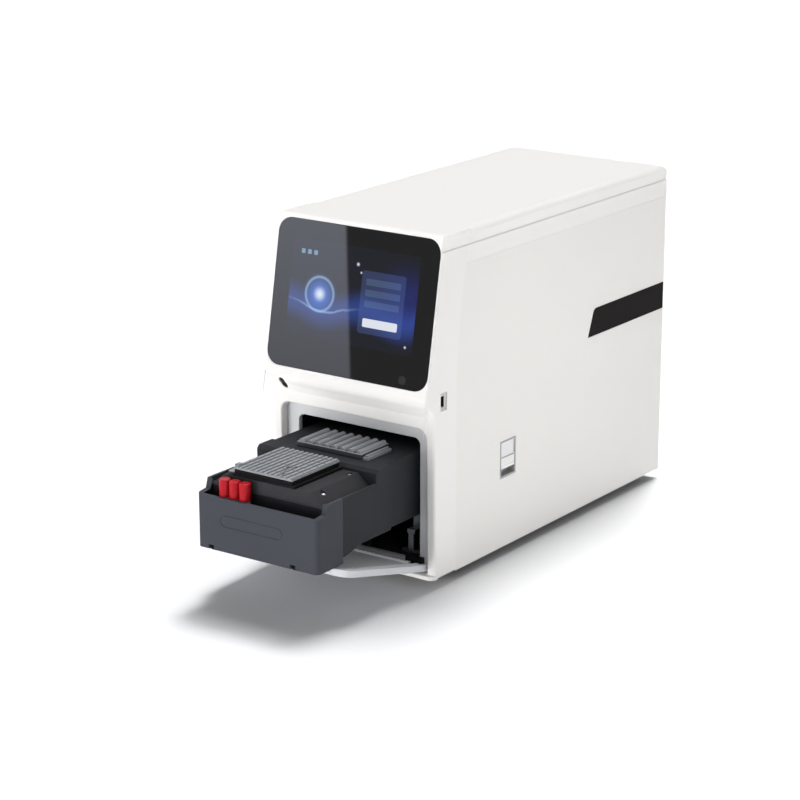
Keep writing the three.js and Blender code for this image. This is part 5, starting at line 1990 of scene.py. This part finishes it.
    def rack(self) -> Object:
        """Models the rack with its round-backed strips."""
        plan = (self.rack_low, self.rack_high)
        (x0, y0), (x1, y1) = plan
        foot = self.rack_foot
        top = foot + self.rack_height - self.lane_rise
        plate = self.upright(*plan, 0.0, foot, top)
        round_edges(plate, 1.0, 2)
        pitch = (x1 - x0) / self.lanes
        strips = []
        grooves = []
        for lane in range(self.lanes):
            x = x0 + (lane + 0.5) * pitch
            place = (x, top - GAP)
            strips.append(rod(Axis.Y, pitch / 3.2, y0 + 1.6, y1 - 1.6, place, DRAWER, 24))
            if lane:
                edge = x - pitch / 2
                low = (edge - 2.2, y0 + 2, foot + 0.8)
                grooves.append(block(low, (edge + 2.2, y1 - 2, top + 4), DRAWER))
        keep = self.upright(*plan, 0.0, foot, foot + self.rack_room)
        cut(join(plate, *strips), *grooves)
        return soften(combine(plate, [keep], "INTERSECT"), 0.3, 2)

    def strip(self) -> Object:
        """Models the narrow strip beside the rack."""
        plan = (self.strip_low, self.strip_high)
        foot = self.rack_foot
        base = self.upright(*plan, 0.0, foot, foot + self.strip_base)
        ridge = slab(Axis.Z, rounded(*plan, 1.9, inset=2.0), foot, foot + self.strip_height, DRAWER)
        return soften(join(base, ridge), 0.4, 2)

    def tube(self, x: float) -> Object:
        """Models one tube with its round foot and stepped neck."""
        radius = self.tube_radius
        neck = radius * 5 / 6
        bore = radius * 4 / 6
        middle = (0.0, self.block_foot + self.wall + GAP + radius)
        rim = self.block_top - GAP
        top = self.block_top + self.cap_height / 3
        profile = [
            *arc(middle, radius, -90, 0, 6),
            (radius, self.block_top - 1.0),
            (radius - 0.5, rim),
            (neck, rim),
            (neck, top),
            (bore, top),
            *arc(middle, bore, 0, -90, 6),
        ]
        return shade(turned(Axis.Z, profile, (x, self.tube_row), DRAWER, 36))

    def cap(self, x: float) -> Object:
        """Models one screw cap with its grip ribs."""
        foot = self.block_top
        top = foot + self.cap_height
        radius = self.cap_radius
        bend = self.cap_round
        bore = self.tube_radius * 5 / 6 + GAP
        inside = foot + self.cap_height / 3 + GAP
        profile = [
            (bore, foot),
            (radius, foot),
            (radius, top - bend),
            *curve((radius, top - bend), (radius, top), (radius - bend, top), 5),
            (radius - 2.4, top - 0.5),
            (0.0, top - 0.5),
            (0.0, inside),
            (bore, inside),
            (bore, foot),
        ]
        body = turned(Axis.Z, profile, (x, self.tube_row), DRAWER, 36)
        places = arc((x, self.tube_row), radius, 0, 360, self.grips)[:-1]
        span = (foot + 2.2, top - 3.2)
        grips = [rod(Axis.Z, self.grip_radius, *span, place, DRAWER, 8) for place in places]
        return soften(cut(body, bundle(*grips)), 0.12, 1, 50)

    def wheel(self, x: float) -> Object:
        """Models one guide wheel with its rounded tread and axle."""
        left = x - self.wheel_width / 2
        right = x + self.wheel_width / 2
        radius = self.wheel_radius
        bend = self.tread_round
        axle = self.axle_radius
        profile = [
            (0.0, left - self.axle_end),
            (axle, left - self.axle_end),
            (axle, left),
            (radius - bend, left),
            *curve((radius - bend, left), (radius, left), (radius, left + bend), 4),
            *curve((radius, right - bend), (radius, right), (radius - bend, right), 4),
            (axle, right),
            (axle, right + self.axle_end),
            (0.0, right + self.axle_end),
        ]
        return shade(turned(Axis.X, profile, (self.wheel_row, self.wheel_height), DRAWER, 36))

    def build(self, frame: dict[str, Any], finishes: Finishes) -> None:
        """Models and dresses the drawer."""
        dark, grey, black = "drawer_charcoal", "tray_grey", "black_plastic"
        for make, name, slot, material, *nodes in (
            (self.front_block, "drawer_block", dark, finishes.charcoal, "drawer_front"),
            (self.body, "drawer_shell", dark, finishes.hull, "drawer_body"),
            (self.deck, "drawer_shoulders", dark, finishes.shade, "drawer_deck"),
            (self.screws, "deck_screws", "zinc_steel", finishes.zinc),
            (self.cartridge, "cartridge", grey, finishes.tray, "reagent_cartridge"),
            (self.cradle, "cartridge_cradle", black, finishes.black),
            (self.clip, "cartridge_clip", grey, finishes.tray),
            (self.rack, "rack", grey, finishes.ribbed, "strip_rack"),
            (self.strip, "strip", grey, finishes.tray, "side_strip"),
        ):
            fit(make(), name, "drawer", slot, material, *nodes)
        for number, x in enumerate(self.tube_places, 1):
            tube = f"sample_tube_{number}"
            cap = f"tube_cap_{number}"
            fit(self.tube(x), f"{tube}_glass", "drawer", "tube_clear", finishes.clear, tube)
            fit(self.cap(x), f"{cap}_red", "drawer", "cap_red", finishes.cap, cap)
        for side, x in zip(("left", "right"), self.wheel_places):
            node = f"guide_wheel_{side}"
            body = f"{side}_wheel"
            fit(self.wheel(x), f"{node}_tread", body, black, finishes.black, node)
        dress(frame, finishes.zinc, "carriage_left", "carriage_right")
        dress(frame, finishes.steel, "screw_nut")


@dataclass
class Inside:
    """The bay, its drive and the modules behind it, which keep the frame's own solids."""

    def build(self, frame: dict[str, Any], finishes: Finishes) -> None:
        """Dresses what is inside the cabinet."""
        black = ("bay_liner", "screw_bearing", "drawer_motor", "lift_motor", "optics_module")
        dress(frame, finishes.black, *black)
        dress(frame, finishes.steel, "rail_left", "rail_right", "drive_screw", "lift_screw")
        dress(frame, finishes.aluminium, "lift_frame", "rod_head", "heat_sink", "thermal_block")
        dress(frame, finishes.zinc, "equipment_shelf", "power_supply")
        dress(frame, finishes.circuit, "main_board")


@dataclass
class Rear:
    """The rear panel and what is let into it."""

    shell: Shell
    sheet: float = 2.5
    side: float = 125.7
    foot: float = 2.8
    fan_centre: Point = (-50.0, 300.0)
    fan_half: float = 40.0
    fan_depth: float = 25.0
    fan_hub: float = 15.0
    vents: int = 9
    inlet_low: Point = (30.0, 95.0)
    inlet_high: Point = (106.0, 125.0)
    inlet_depth: float = 26.0
    rocker_centre: Point = (90.8, 110.0)
    rocker_half: Point = (7.0, 10.0)
    rocker_setback: float = 6.0
    rocker_tilt: float = -7.0
    ports_low: Point = (-100.0, 100.0)
    ports_high: Point = (-40.0, 120.0)
    ports_depth: float = 20.0
    screw_rows: tuple[float, ...] = (22.0, 146.0, 270.0, 392.0)
    screw_inset: float = 7.0
    screw_depth: float = 2.1
    seat_radius: float = 4.0
    fan_round: float = 5.0
    fan_hole_reach: float = 35.75
    fan_hole_radius: float = 2.2
    shaft_radius: float = 2.55
    axle_radius: float = 1.4
    axle_reach: float = 9.5
    mouth_side: float = 5.0
    mouth_width: float = 29.25
    mouth_edge: float = 3.75
    mouth_bevel: float = 6.25
    pin_middle: float = 19.6
    pin_pitch: float = 8.65
    pin_half: float = 0.8
    port_side: float = 2.5

    @property
    def face(self) -> float:
        """The rear panel's outer face."""
        return self.shell.depth

    def panel(self) -> Object:
        """Models the panel with its vents and openings."""
        body = block(
            (-self.side, self.face - self.sheet, self.foot),
            (self.side, self.face, self.shell.panel_top - self.shell.seam_gap),
        )
        x, z = self.fan_centre
        reach = self.fan_half - self.sheet
        pitch = reach * 2 / self.vents
        outlines = [
            rounded(
                (x - reach, z - reach + (i + 0.25) * pitch),
                (x + reach, z - reach + (i + 0.75) * pitch),
                pitch / 4.2,
                steps=4,
            )
            for i in range(self.vents)
        ]
        outlines.append(rounded(self.inlet_low, self.inlet_high, 1.0, steps=4))
        outlines.append(rounded(self.ports_low, self.ports_high, 1.0, steps=4))
        start = self.face - self.sheet - OVERRUN
        tools = [slab(Axis.Y, outline, start, self.face + OVERRUN) for outline in outlines]
        floor = self.face - self.screw_depth
        end = self.face + OVERRUN
        tools += [rod(Axis.Y, self.seat_radius, floor, end, place) for place in self.seats()]
        return soften(cut(body, *tools), 0.4, 2)

    def seats(self) -> list[Point]:
        """The places of the panel's screws."""
        x = self.side - self.screw_inset
        return [(place, z) for place in (-x, x) for z in self.screw_rows]

    def screws(self) -> Object:
        """Models the panel's sunk screws."""
        foot = self.face - self.screw_depth
        return bundle(*[REAR_SCREW.model(Axis.Y, place, foot) for place in self.seats()])

    def fan(self) -> Object:
        """Models the fan's frame with its struts, hub and screw holes."""
        x, z = self.fan_centre
        half = self.fan_half
        wall = self.sheet
        back = self.face - wall - GAP
        front = back - self.fan_depth
        body = slab(Axis.Y, pane((x, z), (half, half), self.fan_round), front, back)
        start, end = front - OVERRUN, back + OVERRUN
        tools = [rod(Axis.Y, half - wall, start, end, (x, z), sides=64)]
        for across in (-self.fan_hole_reach, self.fan_hole_reach):
            for up in (-self.fan_hole_reach, self.fan_hole_reach):
                place = (x + across, z + up)
                tools.append(rod(Axis.Y, self.fan_hole_radius, start, end, place, sides=20))
        cut(body, *tools)
        start = back - wall
        reach = half - 1
        join(
            body,
            block((x - reach, start, z - wall), (x + reach, back - HAIR, z + wall)),
            block((x - wall, start, z - reach), (x + wall, back - HAIR * 2, z + reach)),
            rod(Axis.Y, self.fan_hub, start - HAIR, back - HAIR * 3, (x, z), sides=40),
        )
        shaft = rod(Axis.Y, self.shaft_radius, front, end, (x, z), sides=20)
        return soften(cut(body, shaft), 0.5, 2)

    def inlet(self) -> Object:
        """Models the mains inlet with its mouth and the rocker's well."""
        low, high = self.inlet_low, self.inlet_high
        back = self.face - self.inlet_depth
        end = self.face + OVERRUN
        body = slab(Axis.Y, rounded(low, high, 2.0, inset=GAP), back, self.face)
        left = low[0] + self.mouth_side
        right = left + self.mouth_width
        foot = low[1] + self.mouth_edge
        top = high[1] - self.mouth_edge
        bevel = self.mouth_bevel
        mouth = [
            (left, top - bevel),
            (left, foot),
            (right, foot),
            (right, top - bevel),
            (right - bevel, top),
            (left + bevel, top),
        ]
        middle, height = self.rocker_centre
        start, finish = middle - self.axle_reach, middle + self.axle_reach
        place = (self.face - self.rocker_setback, height)
        axle = rod(Axis.X, self.axle_radius, start, finish, place, sides=20)
        well = pane(self.rocker_centre, self.rocker_half, 0.6, -GAP)
        cut(
            body,
            slab(Axis.Y, mouth, back + self.sheet, end),
            slab(Axis.Y, well, self.face - self.inlet_depth / 2, end),
            axle,
        )
        return soften(body, 0.5, 2)

    def pins(self) -> Object:
        """Models the inlet's three flat pins."""
        start = self.face - self.inlet_depth + self.sheet
        middle = self.inlet_low[0] + self.pin_middle
        height = self.rocker_centre[1]
        made = []
        for i in (-1, 0, 1):
            x = middle + i * self.pin_pitch
            z = height + (self.sheet if i == 0 else -self.sheet)
            low = (x - self.pin_half, start - 0.2, z - self.sheet)
            high = (x + self.pin_half, self.face - self.sheet * 2, z + self.sheet)
            made.append(soften(block(low, high), 0.35, 2))
        return bundle(*made)

    def rocker(self) -> Object:
        """Models the rocker, tilted as it rests."""
        middle, height = self.rocker_centre
        wide = self.rocker_half[0]
        tip = self.rocker_half[1] - 0.9
        deep = self.sheet
        lens = [
            (-deep, -tip),
            (deep * 1.6, -tip),
            *curve((deep * 1.6, -tip), (deep * 0.4, 0.0), (deep * 1.6, tip), 10),
            (-deep, tip),
            (-deep * 1.6, 0.0),
        ]
        body = slab(Axis.X, lens, -wide, wide, ORIGIN)
        join(body, rod(Axis.X, 1.2, -wide - 2.2, wide + 2.2, (0, 0), ORIGIN, 20))
        soften(body, 0.4, 2)
        return placed(body, (middle, self.face - self.rocker_setback, height), self.rocker_tilt)

    def port_outline(self, number: int, inset: float) -> list[Point]:
        """The outline of one of the three data sockets, drawn in by an inset."""
        x0, z0 = self.ports_low
        pitch = (self.ports_high[0] - x0) / 3
        low = (x0 + number * pitch + self.port_side, z0 + self.mouth_edge)
        x1 = x0 + (number + 1) * pitch - self.port_side
        return rounded(low, (x1, self.ports_high[1] - self.mouth_edge), 0.8, steps=3, inset=inset)

    def ports(self) -> Object:
        """Models the block of data sockets."""
        back = self.face - self.ports_depth
        outline = rounded(self.ports_low, self.ports_high, 1.2, inset=GAP)
        body = slab(Axis.Y, outline, back, self.face)
        sockets = [
            slab(Axis.Y, self.port_outline(i, 0.0), back + self.sheet, self.face + OVERRUN)
            for i in range(3)
        ]
        return soften(cut(body, *sockets), 0.4, 2)

    def port_shells(self) -> Object:
        """Models the bright shells and tongues in the data sockets."""
        made = []
        start = self.face - self.ports_depth + self.sheet
        for i in range(3):
            shell = slab(Axis.Y, self.port_outline(i, 0.02), start, self.face - 0.4)
            cut(shell, slab(Axis.Y, self.port_outline(i, 0.6), start - 1, self.face + 1))
            tongue = slab(Axis.Y, self.port_outline(i, 4.0), start, self.face - 3)
            made += [soften(shell, 0.12, 1), soften(tongue, 0.2, 1)]
        return bundle(*made)

    def build(self, frame: dict[str, Any], finishes: Finishes) -> None:
        """Models and dresses the rear."""
        case, black, zinc = "cabinet", "black_plastic", "zinc_steel"
        for make, name, body, slot, material, *nodes in (
            (self.panel, "rear_sheet", case, "cabinet_paint", finishes.paint, "rear_panel"),
            (self.screws, "rear_screws", case, zinc, finishes.zinc),
            (self.fan, "fan_housing", case, black, finishes.black, "fan_frame"),
            (self.inlet, "mains_socket", case, black, finishes.black, "power_inlet"),
            (self.pins, "mains_pins", case, "steel", finishes.steel),
            (self.rocker, "mains_rocker", "rocker", black, finishes.label, "power_switch"),
            (self.ports, "data_sockets", case, black, finishes.black, "rear_ports"),
            (self.port_shells, "data_shells", case, zinc, finishes.zinc),
        ):
            fit(make(), name, body, slot, material, *nodes)
        dress(frame, finishes.black, "fan_rotor")


@dataclass(frozen=True)
class Sun:
    """A sun: its name, its strength, where it stands seen from the object, its width in degrees."""

    name: str
    strength: float
    towards: Point3
    spread: float
    gloss: bool = False

    def hang(self) -> Object:
        """Adds the sun to the scene, and returns it."""
        data = bpy.data.lights.new(self.name, "SUN")
        data.energy = self.strength
        data.angle = math.radians(self.spread)
        return hang_lamp(data, Vector(self.towards), self.gloss)


def hang_lamp(data: bpy.types.Light, towards: Vector, gloss: bool) -> Object:
    """Links a lamp into the scene.

    Args:
        data: The lamp's light.
        towards: The way it stands, seen from what it lights.
        gloss: Whether glossy surfaces show it.

    Returns:
        The lamp.
    """
    made = bpy.data.objects.new(data.name, data)
    made.visible_glossy = gloss
    made.rotation_euler = towards.to_track_quat("Z", "Y").to_euler()
    bpy.context.scene.collection.objects.link(made)
    return made


@dataclass
class Studio:
    """The floor, the lamps, the sky and the camera."""

    back: Sun = Sun("sun_back", 1.86, (-0.1, 0.3, 0.946), 24, gloss=True)
    front: Sun = Sun("sun_front", 1.6, (-0.36, -0.9, -0.2), 30)
    shadow: Sun = Sun("sun_floor", 2.7, (-0.08, 0.47, 0.88), 18)
    door: Sun = Sun("sun_door", 0.9, (0.25, -0.75, 0.6), 40)
    fill_power: float = 0.3
    fill_size: float = 0.3
    fill_place: Point3 = (0.56, 0.0, 0.28)
    fill_aim: Point3 = (0.129, 0.0, 0.24)
    camera_place: Point3 = (1.85544, -2.69587, 1.15763)
    camera_down: float = 16.4881
    camera_turn: float = 35.3616
    lens: float = 113.8
    sky: float = 0.46
    card_edge: float = math.radians(34.72)
    card_slant: float = math.radians(13.56)
    floor_size: float = 24.0
    floor_tone: float = 0.62

    def camera(self) -> None:
        """Sets the camera where the photograph was taken from."""
        data = bpy.data.cameras.new("camera")
        data.lens = self.lens
        data.sensor_width = 36.0
        data.sensor_fit = "HORIZONTAL"
        data.clip_end = 100.0
        made = bpy.data.objects.new("camera", data)
        made.location = self.camera_place
        made.rotation_euler = (
            math.radians(90 - self.camera_down),
            0.0,
            math.radians(self.camera_turn),
        )
        bpy.context.scene.collection.objects.link(made)
        bpy.context.scene.camera = made

    def sky_world(self) -> None:
        """Gives the world its white background, its soft light and what glass reflects."""
        world = bpy.data.worlds.new("studio")
        bpy.context.scene.world = world
        graph = Graph(world)
        seen = graph.node("LightPath", out="Is Camera Ray")
        gloss = graph.node("LightPath", out="Is Glossy Ray")
        way = graph.node("TexCoord", out="Generated")
        x, y, z = graph.split(way)
        side = graph.sum("ARCTAN2", 0 - x, 0 - y)
        slant = side - z * self.card_slant
        card = graph.step(slant, self.card_edge - 0.001, self.card_edge + 0.001)
        card = card * graph.step(y, 0.05, -0.05)
        bright = 1.8 + graph.sum("MINIMUM", z, 0.08) * 14
        shown = graph.step(z, 0.12, 0.6) * 0.7 + 0.36
        shown = graph.sum("MAXIMUM", shown, card * bright)
        strength = self.sky + gloss * (shown - self.sky)
        strength = strength + seen * (1.0 - strength)
        tint = graph.mix(card * gloss, (1, 1, 1, 1), (0.9, 0.95, 1.08, 1))
        light = graph.node("Background", Color=tint, Strength=strength)
        out = graph.tree.nodes.new("ShaderNodeOutputWorld")
        graph.tree.links.new(light.socket, out.inputs["Surface"])

    def floor(self) -> Object:
        """Lays the plain pale floor, and returns it."""
        bpy.ops.object.select_all(action="DESELECT")
        bpy.ops.mesh.primitive_plane_add(size=self.floor_size, location=(0, 0, 0))
        floor = bpy.context.object
        floor.name = "floor"
        made = bpy.data.materials.new("floor_paper")
        graph = Graph(made)
        low = (self.floor_tone, self.floor_tone * 1.005, self.floor_tone * 1.02, 1)
        tone = graph.mix(graph.noise(3, 2), low, shifted(low, 0.015))
        graph.surface(graph.node("BsdfDiffuse", Color=tone))
        floor.data.materials.append(made)
        return floor

    def fill(self, floor: Object) -> None:
        """Adds the soft lamp at the front right, which leaves the floor alone."""
        data = bpy.data.lights.new("lamp_right", "AREA")
        data.energy = self.fill_power
        data.size = self.fill_size
        made = hang_lamp(data, Vector(self.fill_place) - Vector(self.fill_aim), False)
        made.location = self.fill_place
        self.spare(made, floor)

    def only(self, lamp: Object, *pieces: Object) -> None:
        """Keeps a lamp's light to some pieces."""
        lit = bpy.data.collections.new(f"{lamp.name}_only")
        for piece in pieces:
            lit.objects.link(piece)
        lamp.light_linking.receiver_collection = lit

    def spare(self, lamp: Object, floor: Object) -> None:
        """Keeps a lamp's light off the floor."""
        lit = bpy.data.collections.new(f"{lamp.name}_spares")
        lit.objects.link(floor)
        lit.collection_objects[0].light_linking.link_state = "EXCLUDE"
        lamp.light_linking.receiver_collection = lit

    def light_door(self) -> None:
        """Adds the weak light that only the open door gets, under the drawer."""
        lamp = self.door.hang()
        self.only(lamp, *(bpy.data.objects[name] for name in ("door_tray", "door_pad")))
        lamp.light_linking.blocker_collection = lamp.light_linking.receiver_collection

    def build(self) -> None:
        """Sets up the studio."""
        bpy.context.scene.view_settings.view_transform = "Standard"
        self.camera()
        self.sky_world()
        floor = self.floor()
        self.back.hang()
        front = self.front.hang()
        self.spare(front, floor)
        front.light_linking.blocker_collection = front.light_linking.receiver_collection
        self.fill(floor)
        self.only(self.shadow.hang(), floor)


def main() -> None:
    """Builds the whole scene."""
    logging.basicConfig(level=logging.INFO, format="%(name)s: %(message)s")
    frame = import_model()
    studio = Studio()
    studio.build()
    finishes = Finishes()
    shell = Shell()
    for part in (
        Front(shell),
        Cabinet(shell),
        SideLatch(shell),
        BayDoor(shell),
        Drawer(),
        Inside(),
        Rear(shell),
    ):
        part.build(frame, finishes)
    studio.light_door()
    bpy.context.view_layer.update()


if __name__ == "__main__":
    main()
